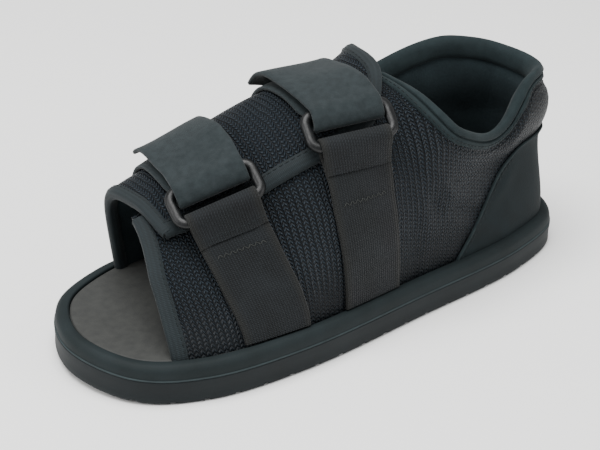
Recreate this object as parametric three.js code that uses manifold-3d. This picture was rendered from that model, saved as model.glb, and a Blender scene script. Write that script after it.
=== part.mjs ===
// Open-toe post-operative shoe, in millimetres. +X runs from heel to toe, +Y to the side with the
// rings, +Z up. The origin is on the floor under the middle of the sole.
import * as THREE from 'three';
import { mergeVertices } from 'three/addons/utils/BufferGeometryUtils.js';
import Module from 'manifold-3d';

const wasm = await Module();
wasm.setup();

// Sole
const shoeLength = 290;
const ballWidth = 115;
const waistWidth = 103;
const heelWidth = 86;
const outsoleHeight = 12;
const midsoleHeight = 7.6;
const midsoleFloor = 4.2;
const ledgeWidth = 7.4;
const insoleThickness = 1.9;
const toeSpring = 2.6;
const toeSpringLength = 34;
const soleEdgeRadius = 1.4;
const treadPitch = 14.5;
const treadGrooveWidth = 3.2;
const treadGrooveDepth = 1.5;

// Upper
const instepHeight = 93;
const upperWall = 3;
const flapWall = 3;
const heelLean = 5.5;
const heelWaistHeight = 64;
const collarPadOut = 5;
const collarPadIn = 3.6;
const collarPadHeight = 36;
const collarPadFade = 14;
const collarRollHeight = 8;
const counterThickness = 1.1;
const pipingWidth = 2.6;
const pipingHeight = 2.2;
const bindingWidth = 7.5;
const bindingThickness = 1;

// Fastening
const strapWidth = 35;
const strapThickness = 2;
const webbingThickness = 1.8;
const ringBar = 4.4;
const ringGap = 12.4;
const ringSideRoom = 0.8;
const foldRunOut = 20;
const webbingTail = 13;
const strapEndLift = 7;
const foldArch = 5.4;
const foldReach = 8;
const foldDepth = 4.15;

// Fits
const clearance = 0.3;
const strapGap = 0.6;
const stationsPerSide = 26;
const stationMoves = { 12: -0.5, 13: -0.45, 14: -0.2 };
const profileSteps = 12;
const ruledStrips = 6;
const collarSteps = 20;
const foldHalfTurn = 96;

// Side of the foam rim: share of its height, how far in it lies as a share of ledgeWidth.
const rimRows = [
  { up: 0, inset: 0.15 },
  { up: 0.15, inset: 0.03 },
  { up: 0.575, inset: 0.12 },
  { up: 0.85, inset: 0.325 },
  { up: 1, inset: 0.62 },
];

// Plan of the sole: share of the length from the heel, the width it follows, share of that width.
const outlineRows = [
  { along: 0.035, width: heelWidth, share: 0.32 },
  { along: 0.16, width: heelWidth, share: 0.5 },
  { along: 0.42, width: waistWidth, share: 0.5 },
  { along: 0.68, width: ballWidth, share: 0.5 },
  { along: 0.85, width: ballWidth, share: 0.455 },
  { along: 0.955, width: ballWidth, share: 0.304 },
];

// Sections of the upper: share of the length, height of the spine above the footbed as a share of
// instepHeight, its shift to the side as a share of ballWidth, and how square each side is
// (1 a straight slope, 2 an ellipse, 5 a box).
const sectionRows = [
  { along: 0.286, rise: 1.17, shift: 0.0, near: 6.2, far: 6.2 },
  { along: 0.362, rise: 0.95, shift: -0.05, near: 4.6, far: 4.6 },
  { along: 0.405, rise: 0.952, shift: -0.06, near: 2.75, far: 3.4 },
  { along: 0.452, rise: 0.95, shift: -0.07, near: 2.4, far: 3.0 },
  { along: 0.576, rise: 0.87, shift: -0.13, near: 2.1, far: 3.0 },
  { along: 0.672, rise: 0.76, shift: -0.15, near: 1.5, far: 3.2 },
  { along: 0.783, rise: 0.57, shift: -0.13, near: 1.3, far: 4.2 },
  { along: 0.838, rise: 0.49, shift: -0.11, near: 1.3, far: 6.0 },
  { along: 0.886, rise: 0.44, shift: -0.08, near: 1.3, far: 6.0 },
];

// Flap over the instep: how far its spine and its near side stand off the quarter below, in walls.
const flapRows = [
  { along: 0.34, lift: 4.6, stand: 1.1 },
  { along: 0.412, lift: 2.9, stand: 1.1 },
  { along: 0.43, lift: 2.1, stand: 1.1 },
  { along: 0.448, lift: 1.42, stand: 1.1 },
  { along: 0.465, lift: 1.27, stand: 1.1 },
  { along: 0.53, lift: 1.2, stand: 1.11 },
  { along: 0.75, lift: 1.15, stand: 1.3 },
  { along: 0.84, lift: 1.4, stand: 2.6 },
];

// Collar edge: share of the length, height above the footbed on the near and far side as shares of
// instepHeight.
const collarRows = [
  { along: 0.03, near: 0.85, far: 0.85 },
  { along: 0.1, near: 0.87, far: 0.905 },
  { along: 0.14, near: 0.83, far: 0.94 },
  { along: 0.165, near: 0.725, far: 0.965 },
  { along: 0.195, near: 0.655, far: 0.955 },
  { along: 0.225, near: 0.64, far: 0.925 },
  { along: 0.26, near: 0.67, far: 0.87 },
  { along: 0.305, near: 0.74, far: 0.8 },
  { along: 0.345, near: 0.825, far: 0.8 },
  { along: 0.372, near: 1.05, far: 0.93 },
  { along: 0.38, near: 1.3, far: 1.3 },
];

// Front edge of the near quarter and of the flap: height above the footbed as a share of
// instepHeight, and share of the length.
const quarterFrontRows = [
  { up: -0.1, along: 0.886 },
  { up: 0.13, along: 0.881 },
  { up: 0.3, along: 0.872 },
  { up: 0.42, along: 0.855 },
  { up: 0.9, along: 0.8 },
];
const flapFrontRows = [
  { up: -0.1, far: 0.812, near: 0.8 },
  { up: 0.5, far: 0.842, near: 0.822 },
  { up: 0.9, far: 0.85, near: 0.83 },
];

// Near edge and rear edge of the flap in plan: share of the length, side as a share of ballWidth.
const flapNearEdge = [
  { along: 0.95, side: 0.02 },
  { along: 0.81, side: 0.055 },
  { along: 0.66, side: 0.145 },
  { along: 0.57, side: 0.205 },
  { along: 0.45, side: 0.19 },
  { along: 0.3, side: 0.15 },
];
const flapRearEdge = [
  { side: -0.6, along: 0.34 },
  { side: -0.35, along: 0.358 },
  { side: -0.2, along: 0.388 },
  { side: -0.05, along: 0.4 },
  { side: 0.05, along: 0.411 },
  { side: 0.12, along: 0.432 },
  { side: 0.3, along: 0.5 },
];
const quarterTopSide = -0.13;
const farJoinAlong = 0.39;
const counterSeam = [
  { up: -0.1, along: 0.33 },
  { up: 0.0, along: 0.315 },
  { up: 0.3, along: 0.235 },
  { up: 0.42, along: 0.2 },
  { up: 0.5, along: 0.14 },
  { up: 0.53, along: 0.0 },
];

// Straps: share of the length at the strap's middle, its shift on the far side and the middle of the
// webbing at the sole; side of the ring's two ends and of the strap's end as shares of ballWidth.
const strapRows = [
  {
    name: 'front', middle: 0.735, farShift: -0.017, base: 0.713,
    ringFront: 0.015, ringRear: 0.1, endSide: -0.38,
  },
  {
    name: 'rear', middle: 0.514, farShift: -0.01, base: 0.517,
    ringFront: 0.135, ringRear: 0.22, endSide: -0.36,
  },
];

const footbed = outsoleHeight + midsoleHeight;
const upperInset = ledgeWidth + clearance;
const strapBase = footbed + 0.8;
const upperBase = outsoleHeight + clearance + midsoleFloor + clearance;
const spineRear = sectionRows[0].along;
const spineFront = sectionRows[sectionRows.length - 1].along;

function xAt(along) {
  return (along - 0.5) * shoeLength;
}

function smooth(t) {
  const c = THREE.MathUtils.clamp(t, 0, 1);
  return c * c * (3 - 2 * c);
}

// Smooth curve through one column of a table, held at its ends.
function tableValue(rows, key, column, at) {
  const last = rows.length - 1;
  if (at <= rows[0][key]) return rows[0][column];
  if (at >= rows[last][key]) return rows[last][column];
  let i = 0;
  while (rows[i + 1][key] < at) i += 1;
  const slope = (a, b) => (rows[b][column] - rows[a][column]) / (rows[b][key] - rows[a][key]);
  const tangent = (k) => (k === 0 || k === last ? 0 : (slope(k - 1, k) + slope(k, k + 1)) / 2);
  const span = rows[i + 1][key] - rows[i][key];
  const t = (at - rows[i][key]) / span;
  const t2 = t * t;
  const t3 = t2 * t;
  return (2 * t3 - 3 * t2 + 1) * rows[i][column] + (t3 - 2 * t2 + t) * span * tangent(i)
    + (3 * t2 - 2 * t3) * rows[i + 1][column] + (t3 - t2) * span * tangent(i + 1);
}

// Straight run between rows, carried on past both ends.
function rowValue(rows, key, column, at) {
  let i = 0;
  while (i < rows.length - 2 && rows[i + 1][key] < at) i += 1;
  const t = (at - rows[i][key]) / (rows[i + 1][key] - rows[i][key]);
  return THREE.MathUtils.lerp(rows[i][column], rows[i + 1][column], t);
}

// Half of the sole's plan, from the middle of the heel round the near side to the toe.
const halfPlan = (() => {
  const corner = (along, y) => new THREE.Vector3(xAt(along), y, 0);
  const side = (sign) => outlineRows.map((row) => corner(row.along, sign * row.width * row.share));
  const corners = [corner(0, 0), ...side(1), corner(1, 0), ...side(-1).reverse()];
  const curve = new THREE.CatmullRomCurve3(corners, true, 'centripetal');
  const points = [];
  for (let i = 0; i <= stationsPerSide; i += 1) {
    const at = ((i + (stationMoves[i] ?? 0)) / stationsPerSide) / 2;
    const point = curve.getPoint(at);
    const tangent = curve.getTangent(at);
    const ends = i === 0 || i === stationsPerSide;
    const across = new THREE.Vector2(tangent.y, -tangent.x).normalize();
    const inward = ends ? new THREE.Vector2(i === 0 ? 1 : -1, 0) : across;
    points.push({ x: point.x, y: ends ? 0 : point.y, inward });
  }
  return points;
})();

function planStation(index, inset) {
  const far = index > stationsPerSide;
  const plan = halfPlan[far ? 2 * stationsPerSide - index : index];
  const y = plan.y + plan.inward.y * inset;
  return { x: plan.x + plan.inward.x * inset, y: far ? -y : y, inward: plan.inward, far };
}

const stationCount = 2 * stationsPerSide;

function toeLift(x) {
  const t = Math.max(0, (x - (shoeLength / 2 - toeSpringLength)) / toeSpringLength);
  return toeSpring * t * t;
}

// Closed solid from rings of equal count that follow the sole's stations, capped across the sole.
function stackRings(rings, capTop) {
  const positions = [];
  const faces = [];
  rings.forEach((ring) => ring.forEach((point) => positions.push(point.x, point.y, point.z)));
  const id = (ring, station) => ring * stationCount + (station % stationCount);
  for (let r = 0; r < rings.length - 1; r += 1) {
    for (let i = 0; i < stationCount; i += 1) {
      faces.push([id(r, i), id(r + 1, i), id(r + 1, i + 1)], [id(r, i), id(r + 1, i + 1), id(r, i + 1)]);
    }
  }
  const cap = (ring, flip) => {
    for (let i = 0; i < stationsPerSide; i += 1) {
      const far = stationCount - i;
      const quad = [id(ring, i), id(ring, i + 1), id(ring, far - 1), id(ring, far)];
      const two = [[quad[0], quad[1], quad[2]], [quad[0], quad[2], quad[3]]];
      two.forEach((face) => faces.push(flip ? [face[0], face[2], face[1]] : face));
    }
  };
  cap(0, false);
  if (capTop) cap(rings.length - 1, true);
  return toSolid(positions, faces);
}

// A closed mesh as a solid: equal points are merged and faces of no area left out.
function toSolid(positions, faces) {
  const raw = new THREE.BufferGeometry();
  raw.setAttribute('position', new THREE.Float32BufferAttribute(positions, 3));
  raw.setIndex(faces.flat());
  return geometrySolid(raw);
}

function geometrySolid(raw) {
  const bare = raw.clone();
  bare.deleteAttribute('normal');
  bare.deleteAttribute('uv');
  const merged = mergeVertices(bare, 1e-4);
  const kept = [];
  for (let i = 0; i < merged.index.count; i += 3) {
    const [a, b, c] = [merged.index.getX(i), merged.index.getX(i + 1), merged.index.getX(i + 2)];
    if (a !== b && b !== c && c !== a) kept.push(a, b, c);
  }
  const solid = new wasm.Manifold(new wasm.Mesh({
    numProp: 3,
    vertProperties: new Float32Array(merged.attributes.position.array),
    triVerts: new Uint32Array(kept),
  }));
  return solid;
}

function soleRing(inset, z) {
  const ring = [];
  for (let i = 0; i < stationCount; i += 1) {
    const plan = planStation(i, inset);
    ring.push(new THREE.Vector3(plan.x, plan.y, z + toeLift(plan.x)));
  }
  return ring;
}

function box(low, high) {
  const size = high.map((value, axis) => value - low[axis]);
  const geometry = new THREE.BoxGeometry(...size);
  geometry.translate(...low.map((value, axis) => value + size[axis] / 2));
  return geometrySolid(geometry);
}

// Sole pieces
function makeOutsole() {
  let solid = stackRings([
    soleRing(soleEdgeRadius, 0),
    soleRing(0, soleEdgeRadius),
    soleRing(0, outsoleHeight - soleEdgeRadius / 2),
    soleRing(soleEdgeRadius / 2, outsoleHeight),
  ], true);
  const count = Math.floor((shoeLength - 2 * treadPitch) / treadPitch);
  for (let i = 0; i <= count; i += 1) {
    const x = (i - count / 2) * treadPitch;
    const half = treadGrooveWidth / 2;
    const top = treadGrooveDepth + toeLift(x);
    solid = solid.subtract(box([x - half, -ballWidth, -1], [x + half, ballWidth, top]));
  }
  return solid;
}

const midsoleBase = outsoleHeight + clearance;

function makeMidsole() {
  const height = footbed - midsoleBase;
  return stackRings([
    ...rimRows.map((row) => soleRing(row.inset * ledgeWidth, midsoleBase + row.up * height)),
    soleRing(ledgeWidth, footbed),
    soleRing(ledgeWidth, midsoleBase + midsoleFloor),
  ], true);
}

function makeInsole() {
  const low = upperBase;
  const slab = stackRings([
    soleRing(ledgeWidth + clearance, low),
    soleRing(ledgeWidth + clearance, low + insoleThickness * 0.7),
    soleRing(ledgeWidth * 1.1 + clearance, low + insoleThickness),
  ], true);
  return slab.subtract(upperClearance());
}

// Upper: a dome over the footbed, from the plan of the sole up to a spine along the foot.
function spinePoint(x, lift) {
  const along = THREE.MathUtils.clamp(x / shoeLength + 0.5, spineRear, spineFront);
  return {
    x: xAt(along),
    y: tableValue(sectionRows, 'along', 'shift', along) * ballWidth,
    z: footbed + tableValue(sectionRows, 'along', 'rise', along) * instepHeight + lift(along),
    near: tableValue(sectionRows, 'along', 'near', along),
    far: tableValue(sectionRows, 'along', 'far', along),
  };
}

// Heel shape: the wall leans in above the heel, and the padded collar swells below its edge.
function heelInset(x, z, swell, column) {
  const weight = 1 - smooth((x - xAt(0.19)) / (xAt(0.36) - xAt(0.19)));
  const lean = heelLean * smooth((z - footbed) / (heelWaistHeight - footbed));
  const pad = Math.sin(Math.PI * THREE.MathUtils.clamp((z - heelWaistHeight) / collarPadHeight, 0, 1));
  const top = upAt(tableValue(collarRows, 'along', column, x / shoeLength + 0.5));
  return weight * (lean - swell * Math.max(0, pad) * smooth((top - z) / collarPadFade));
}

function domePoint(station, step, form) {
  const plan = planStation(station, upperInset - (planSide(station) ? form.far : form.near));
  const spine = spinePoint(plan.x, form.lift);
  const along = spine.x / shoeLength + 0.5;
  const stand = planSide(station) ? 0 : form.stand(along);
  const startX = plan.x - plan.inward.x * stand;
  const startY = plan.y - plan.inward.y * stand * (plan.far ? -1 : 1);
  const angle = (Math.PI / 2) * (step / profileSteps);
  const square = plan.far ? spine.far : spine.near;
  const reach = (Math.cos(angle) ** square + Math.sin(angle) ** square) ** (-1 / square);
  const last = step === profileSteps;
  const out = last ? 0 : reach * Math.cos(angle);
  const up = last ? 1 : reach * Math.sin(angle);
  const z = upperBase + up * (spine.z - upperBase);
  const inset = last ? 0 : heelInset(startX, z, form.swell, plan.far ? 'far' : 'near') * Math.min(1, out * 4);
  return new THREE.Vector3(
    spine.x + (startX + plan.inward.x * inset - spine.x) * out,
    spine.y + (startY + plan.inward.y * inset * (plan.far ? -1 : 1) - spine.y) * out,
    z,
  );
}

function planSide(station) {
  return station > stationsPerSide && station < stationCount;
}

function makeDome(form) {
  const rings = [];
  for (let step = 0; step <= profileSteps; step += 1) {
    const ring = [];
    for (let i = 0; i < stationCount; i += 1) ring.push(domePoint(i, step, form));
    rings.push(ring);
  }
  rings.unshift(rings[0].map((point) => new THREE.Vector3(point.x, point.y, upperBase - 1)));
  return stackRings(rings, false);
}

// near and far: how far each side stands outside the quarter's outer face; swell: collar padding.
function quarterForm(offset, swell) {
  return { near: offset, far: offset, lift: () => offset, stand: () => 0, swell };
}

function flapForm(offset) {
  const wall = (column) => (along) => tableValue(flapRows, 'along', column, along) * flapWall;
  return {
    near: offset,
    far: offset,
    lift: (along) => wall('lift')(along) + offset,
    stand: wall('stand'),
    swell: 0,
  };
}

// A block ruled between a near and a far profile drawn from the side.
function ruledBlock(nearProfile, farProfile) {
  const outline = nearProfile.map((point) => new THREE.Vector2(point[0], point[1]));
  const order = nearProfile.map((_, i) => i);
  if (THREE.ShapeUtils.isClockWise(outline)) order.reverse();
  const nearY = waistWidth * 0.34;
  const farY = -waistWidth * 0.36;
  const positions = [];
  const faces = [];
  const count = order.length;
  for (let strip = 0; strip <= ruledStrips; strip += 1) {
    const y = ballWidth * (0.6 - 1.2 * (strip / ruledStrips));
    const t = (nearY - y) / (nearY - farY);
    order.forEach((i) => {
      const [near, far] = [nearProfile[i], farProfile[i]];
      positions.push(near[0] + (far[0] - near[0]) * t, y, near[1] + (far[1] - near[1]) * t);
    });
  }
  const flat = order.map((i) => outline[i]);
  THREE.ShapeUtils.triangulateShape(flat.slice(), []).forEach((corners) => {
    const clockwise = THREE.ShapeUtils.isClockWise(corners.map((k) => flat[k]));
    const [a, b, c] = clockwise ? [...corners].reverse() : corners;
    const last = ruledStrips * count;
    faces.push([a + last, b + last, c + last], [a, c, b]);
  });
  for (let strip = 0; strip < ruledStrips; strip += 1) {
    const row = strip * count;
    for (let i = 0; i < count; i += 1) {
      const [a, b] = [row + i, row + ((i + 1) % count)];
      faces.push([a, b, b + count], [a, b + count, a + count]);
    }
  }
  return toSolid(positions, faces);
}

const skyHeight = footbed + 2 * instepHeight;

function upAt(share) {
  return footbed + share * instepHeight;
}

// What the collar opening takes away; raise moves its edge up.
function collarCut(raise) {
  const near = [];
  const far = [];
  const first = -0.08;
  const last = collarRows[collarRows.length - 1].along;
  for (let i = 0; i <= collarSteps; i += 1) {
    const along = first + (last - first) * (i / collarSteps);
    near.push([xAt(along), upAt(tableValue(collarRows, 'along', 'near', along)) + raise]);
    far.push([xAt(along), upAt(tableValue(collarRows, 'along', 'far', along)) + raise]);
  }
  near.push([xAt(last), skyHeight], [xAt(first), skyHeight]);
  far.push([xAt(last), skyHeight], [xAt(first), skyHeight]);
  return ruledBlock(near, far);
}

// What the toe opening takes away from the near quarter; forward moves its edge.
function quarterFrontCut(forward) {
  const edge = quarterFrontRows.map((row) => [xAt(row.along) + forward, upAt(row.up)]);
  const profile = [...edge, [shoeLength, upAt(0.9)], [shoeLength, upAt(-0.1)]];
  return ruledBlock(profile, profile);
}

function flapFrontCut(forward) {
  const close = [[shoeLength, upAt(0.9)], [shoeLength, upAt(-0.1)]];
  const near = [...flapFrontRows.map((row) => [xAt(row.near) + forward, upAt(row.up)]), ...close];
  const far = [...flapFrontRows.map((row) => [xAt(row.far) + forward, upAt(row.up)]), ...close];
  return ruledBlock(near, far);
}

// A plate over a plan outline, tall enough to cut the whole upper.
function planBlock(points) {
  const shape = new THREE.Shape(points.map((point) => new THREE.Vector2(point[0], point[1])));
  const geometry = new THREE.ExtrudeGeometry(shape, { depth: 2 * skyHeight, bevelEnabled: false });
  geometry.translate(0, 0, -skyHeight);
  return geometrySolid(geometry);
}

function flapNearCut(outward) {
  const edge = flapNearEdge.map((row) => [xAt(row.along), row.side * ballWidth + outward]);
  return planBlock([...edge, [xAt(0.1), ballWidth], [xAt(1.1), ballWidth]]);
}

function flapRearCut(backward) {
  const edge = flapRearEdge.map((row) => [xAt(row.along) - backward, row.side * ballWidth]);
  const behind = [[xAt(0.5), ballWidth], [-shoeLength, ballWidth]];
  return planBlock([[-shoeLength, -0.6 * ballWidth], ...edge, ...behind]);
}

function shell(outer, inner) {
  return makeDome(outer).subtract(makeDome(inner));
}

// The near quarter's top end lies under the flap; past it the far side is the flap's own wall.
function quarterTopCut(inward) {
  const edge = quarterTopSide * ballWidth - inward;
  return planBlock([
    [xAt(farJoinAlong), edge], [xAt(1.1), edge], [xAt(1.1), -ballWidth], [xAt(farJoinAlong), -ballWidth],
  ]);
}

function quarterWall(grow) {
  return shell(quarterForm(grow, collarPadOut), quarterForm(-upperWall - grow, -collarPadIn))
    .subtract(collarCut(grow))
    .subtract(quarterFrontCut(grow))
    .subtract(quarterTopCut(grow));
}

function flapWallSolid(grow) {
  return shell(flapForm(grow), flapForm(-flapWall - grow))
    .subtract(flapFrontCut(grow))
    .subtract(flapNearCut(grow))
    .subtract(flapRearCut(grow));
}

function aboveBase(solid, base) {
  return solid.subtract(box([-shoeLength, -ballWidth, -skyHeight], [shoeLength, ballWidth, base]));
}

function makeUpper() {
  return aboveBase(quarterWall(0).add(flapWallSolid(0)), upperBase);
}

let clearanceCache = null;
function upperClearance() {
  clearanceCache = clearanceCache ?? quarterWall(clearance).add(flapWallSolid(clearance));
  return clearanceCache;
}

function largest(solid) {
  const pieces = solid.decompose();
  return pieces.reduce((best, piece) => (piece.volume() > best.volume() ? piece : best));
}

function makeCounter() {
  const seam = counterSeam.map((row) => [xAt(row.along), upAt(row.up)]);
  const profile = [[-shoeLength, upAt(-0.1)], ...seam, [-shoeLength, upAt(0.53)]];
  const region = ruledBlock(profile, profile);
  const inner = insideSeam(seam, pipingWidth);
  const skin = (thickness) => shell(
    quarterForm(clearance + thickness, collarPadOut),
    quarterForm(clearance, collarPadOut),
  );
  const panel = skin(counterThickness).intersect(region);
  const piping = skin(pipingHeight).intersect(region.subtract(inner));
  return largest(aboveBase(panel.add(piping), footbed + clearance));
}

// The counter's region drawn back from its seam by a width.
function insideSeam(seam, width) {
  const drawn = seam.map((point, i) => {
    const [past, next] = [seam[Math.max(i - 1, 0)], seam[Math.min(i + 1, seam.length - 1)]];
    const run = new THREE.Vector2(next[0] - past[0], next[1] - past[1]).normalize();
    return [point[0] - run.y * width, point[1] + run.x * width];
  });
  const profile = [[-shoeLength, upAt(-0.1)], ...drawn, [-shoeLength, drawn[drawn.length - 1][1]]];
  return ruledBlock(profile, profile);
}

// The flap with its binding and a clearance round both.
function flapRoom() {
  const room = 2 * clearance + bindingThickness;
  return shell(flapForm(room), flapForm(-flapWall - clearance))
    .subtract(flapFrontCut(room))
    .subtract(flapNearCut(room))
    .subtract(flapRearCut(room));
}

function makeCollarBinding() {
  const over = clearance + bindingThickness;
  const skin = shell(quarterForm(over, collarPadOut), quarterForm(-upperWall - over, -collarPadIn));
  const band = skin.subtract(collarCut(over)).intersect(collarCut(-collarRollHeight));
  return largest(band.subtract(upperClearance()).subtract(flapRoom()));
}

// A strip along the quarter's front edge that folds over it.
function makeQuarterBinding() {
  const over = clearance + bindingThickness;
  const skin = shell(quarterForm(over, 0), quarterForm(-upperWall, 0));
  const band = skin.subtract(quarterFrontCut(over)).intersect(quarterFrontCut(-bindingWidth));
  const open = band.subtract(upperClearance()).subtract(flapRoom());
  return largest(aboveBase(open, footbed + clearance).subtract(quarterTopCut(0)));
}

// A strip along the flap's front, near and rear edges that folds over them.
function makeFlapBinding() {
  const over = clearance + bindingThickness;
  const skin = shell(flapForm(over), flapForm(-flapWall));
  const whole = skin.subtract(flapFrontCut(over)).subtract(flapNearCut(over)).subtract(flapRearCut(over));
  const edges = flapFrontCut(-bindingWidth).add(flapNearCut(-bindingWidth)).add(flapRearCut(-bindingWidth));
  const open = whole.intersect(edges).subtract(upperClearance());
  return largest(aboveBase(open, footbed + clearance));
}

// Fastening: each strap runs up the far side, over the flap, through its ring and back on itself.
function planAt(x, far) {
  let i = 1;
  while (i < stationsPerSide - 1 && planStation(i, upperInset).x < x) i += 1;
  const [low, high] = [planStation(i - 1, upperInset), planStation(i, upperInset)];
  const t = (x - low.x) / (high.x - low.x);
  const y = THREE.MathUtils.lerp(low.y, high.y, t);
  return far ? -y : y;
}

// The outer face of the flap or the quarter in the plane at x, from the base to the spine.
function sectionPoints(x, far, form) {
  const spine = spinePoint(x, form.lift);
  const base = planAt(x, far) + (far ? -form.far : form.near + form.stand(x / shoeLength + 0.5));
  const square = far ? spine.far : spine.near;
  const points = [];
  for (let step = 0; step <= profileSteps; step += 1) {
    const angle = (Math.PI / 2) * (step / profileSteps);
    const reach = (Math.cos(angle) ** square + Math.sin(angle) ** square) ** (-1 / square);
    const last = step === profileSteps;
    const out = last ? 0 : reach * Math.cos(angle);
    const up = last ? 1 : reach * Math.sin(angle);
    const y = spine.y + (base - spine.y) * out;
    points.push(new THREE.Vector3(x, y, upperBase + up * (spine.z - upperBase)));
  }
  return points;
}

// A line over the flap from far base to near base.
function acrossFlap(x, offset) {
  const form = flapForm(offset);
  return [...sectionPoints(x, true, form), ...sectionPoints(x, false, form).reverse().slice(1)];
}

function crossing(line, y) {
  let i = 1;
  while (i < line.length - 1 && line[i].y < y) i += 1;
  const t = (y - line[i - 1].y) / (line[i].y - line[i - 1].y);
  return line[i - 1].clone().lerp(line[i], t);
}

const ringRise = 5 * clearance + bindingThickness + webbingThickness + ringBar / 2;
const loopRadius = (thickness) => ringBar / 2 + strapGap + thickness / 2;

// Where a ring sits: its centre and its three directions (along the shoe, down the side, outward).
function ringPlace(row) {
  const half = strapWidth / 2 / shoeLength;
  const at = (along, y) => crossing(acrossFlap(xAt(along), clearance), y);
  const front = at(row.middle + half, row.ringFront * ballWidth);
  const rear = at(row.middle - half, row.ringRear * ballWidth);
  const along = front.clone().sub(rear).normalize();
  const spread = (ringGap + ringBar) / 2;
  const y = (row.ringFront + row.ringRear) / 2 * ballWidth;
  const down = at(row.middle, y + spread).sub(at(row.middle, y - spread));
  const outward = along.clone().cross(down).normalize();
  if (outward.z < 0) outward.negate();
  const across = outward.clone().cross(along).normalize();
  if (across.z > 0) across.negate();
  const centre = rear.add(front).multiplyScalar(0.5).addScaledVector(outward, ringRise);
  return { centre, along, across, outward };
}

function makeRing(row) {
  const place = ringPlace(row);
  const bevel = ringBar * 0.3;
  const rectangle = (length, height, corner, Kind) => {
    const [a, b] = [length / 2, height / 2];
    const shape = new Kind();
    shape.moveTo(-a + corner, -b);
    shape.lineTo(a - corner, -b);
    shape.quadraticCurveTo(a, -b, a, -b + corner);
    shape.lineTo(a, b - corner);
    shape.quadraticCurveTo(a, b, a - corner, b);
    shape.lineTo(-a + corner, b);
    shape.quadraticCurveTo(-a, b, -a, b - corner);
    shape.lineTo(-a, -b + corner);
    shape.quadraticCurveTo(-a, -b, -a + corner, -b);
    return shape;
  };
  const [length, height] = [strapWidth + 2 * ringSideRoom, ringGap];
  const grown = 2 * (ringBar - bevel);
  const shape = rectangle(length + grown, height + grown, ringBar * 0.9, THREE.Shape);
  shape.holes.push(rectangle(length + 2 * bevel, height + 2 * bevel, 1.5, THREE.Path));
  const geometry = new THREE.ExtrudeGeometry(shape, {
    depth: ringBar - 2 * bevel, curveSegments: 3,
    bevelEnabled: true, bevelThickness: bevel, bevelSize: bevel, bevelSegments: 1,
  });
  geometry.translate(0, 0, -ringBar / 2 + bevel);
  const basis = new THREE.Matrix4().makeBasis(place.along, place.across, place.outward);
  if (basis.determinant() < 0) basis.makeBasis(place.along.clone().negate(), place.across, place.outward);
  geometry.applyMatrix4(basis);
  geometry.translate(...place.centre.toArray());
  return geometrySolid(geometry);
}

// A turn round a bar between a point below it and a point above it; way points toward the turn.
function turnPoints(bar, outward, way, radius, below, above) {
  const tangentAngle = (point, sign) => {
    const from = point.clone().sub(bar);
    const [a, b] = [from.dot(way), from.dot(outward)];
    const turned = Math.atan2(b, a);
    const angle = sign > 0 && turned > 0 ? turned - 2 * Math.PI : turned;
    const whole = sign < 0 && angle < 0 ? angle + 2 * Math.PI : angle;
    return whole + sign * Math.acos(radius / Math.hypot(a, b));
  };
  const [start, end] = [tangentAngle(below, 1), tangentAngle(above, -1)];
  const points = [];
  for (let i = 0; i <= 7; i += 1) {
    const angle = THREE.MathUtils.lerp(start, end, i / 7);
    const point = bar.clone().addScaledVector(way, radius * Math.cos(angle));
    points.push(point.addScaledVector(outward, radius * Math.sin(angle)));
  }
  return points;
}

// The strap's loose fold over its bar, which reaches most of the ring's opening.
function foldPoints(bar, place) {
  const points = [];
  for (let i = 0; i <= 7; i += 1) {
    const angle = THREE.MathUtils.degToRad(THREE.MathUtils.lerp(-foldHalfTurn, foldHalfTurn, i / 7));
    const point = bar.clone().addScaledVector(place.across, foldReach * Math.cos(angle));
    points.push(point.addScaledVector(place.outward, foldDepth * Math.sin(angle) + clearance));
  }
  return points;
}

// A flat strip of one thickness that follows a path at each station across its width.
function makeRibbon(paths, thickness) {
  const positions = [];
  const faces = [];
  const length = paths[0].length;
  paths.forEach((path, k) => {
    const beside = paths[k === 0 ? 1 : k - 1];
    path.forEach((point, i) => {
      const run = path[Math.min(i + 1, length - 1)].clone().sub(path[Math.max(i - 1, 0)]).normalize();
      const side = beside[i].clone().sub(point).normalize().multiplyScalar(k === 0 ? 1 : -1);
      const normal = run.cross(side).normalize().multiplyScalar(thickness / 2);
      positions.push(...point.clone().add(normal).toArray(), ...point.clone().sub(normal).toArray());
    });
  });
  const id = (k, i, face) => 2 * (k * length + i) + face;
  for (let k = 0; k < paths.length - 1; k += 1) {
    for (let i = 0; i < length - 1; i += 1) {
      const corners = [[k, i], [k, i + 1], [k + 1, i + 1], [k + 1, i]];
      const quad = (face) => corners.map(([across, along]) => id(across, along, face));
      const [top, low] = [quad(0), quad(1).reverse()];
      [top, low].forEach((q) => faces.push([q[0], q[1], q[2]], [q[0], q[2], q[3]]));
    }
    [0, length - 1].forEach((i) => {
      const q = [id(k, i, 0), id(k + 1, i, 0), id(k + 1, i, 1), id(k, i, 1)];
      const ends = i === 0 ? q : q.reverse();
      faces.push([ends[0], ends[1], ends[2]], [ends[0], ends[2], ends[3]]);
    });
  }
  [0, paths.length - 1].forEach((k) => {
    for (let i = 0; i < length - 1; i += 1) {
      const q = [id(k, i, 1), id(k, i + 1, 1), id(k, i + 1, 0), id(k, i, 0)];
      const ends = k === 0 ? q : q.reverse();
      faces.push([ends[0], ends[1], ends[2]], [ends[0], ends[2], ends[3]]);
    }
  });
  return toSolid(positions, faces);
}

const widthSteps = 3;

function acrossWidth(makePath) {
  const paths = [];
  for (let k = 0; k <= widthSteps; k += 1) paths.push(makePath((k / widthSteps - 0.5) * strapWidth));
  return paths;
}

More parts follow.
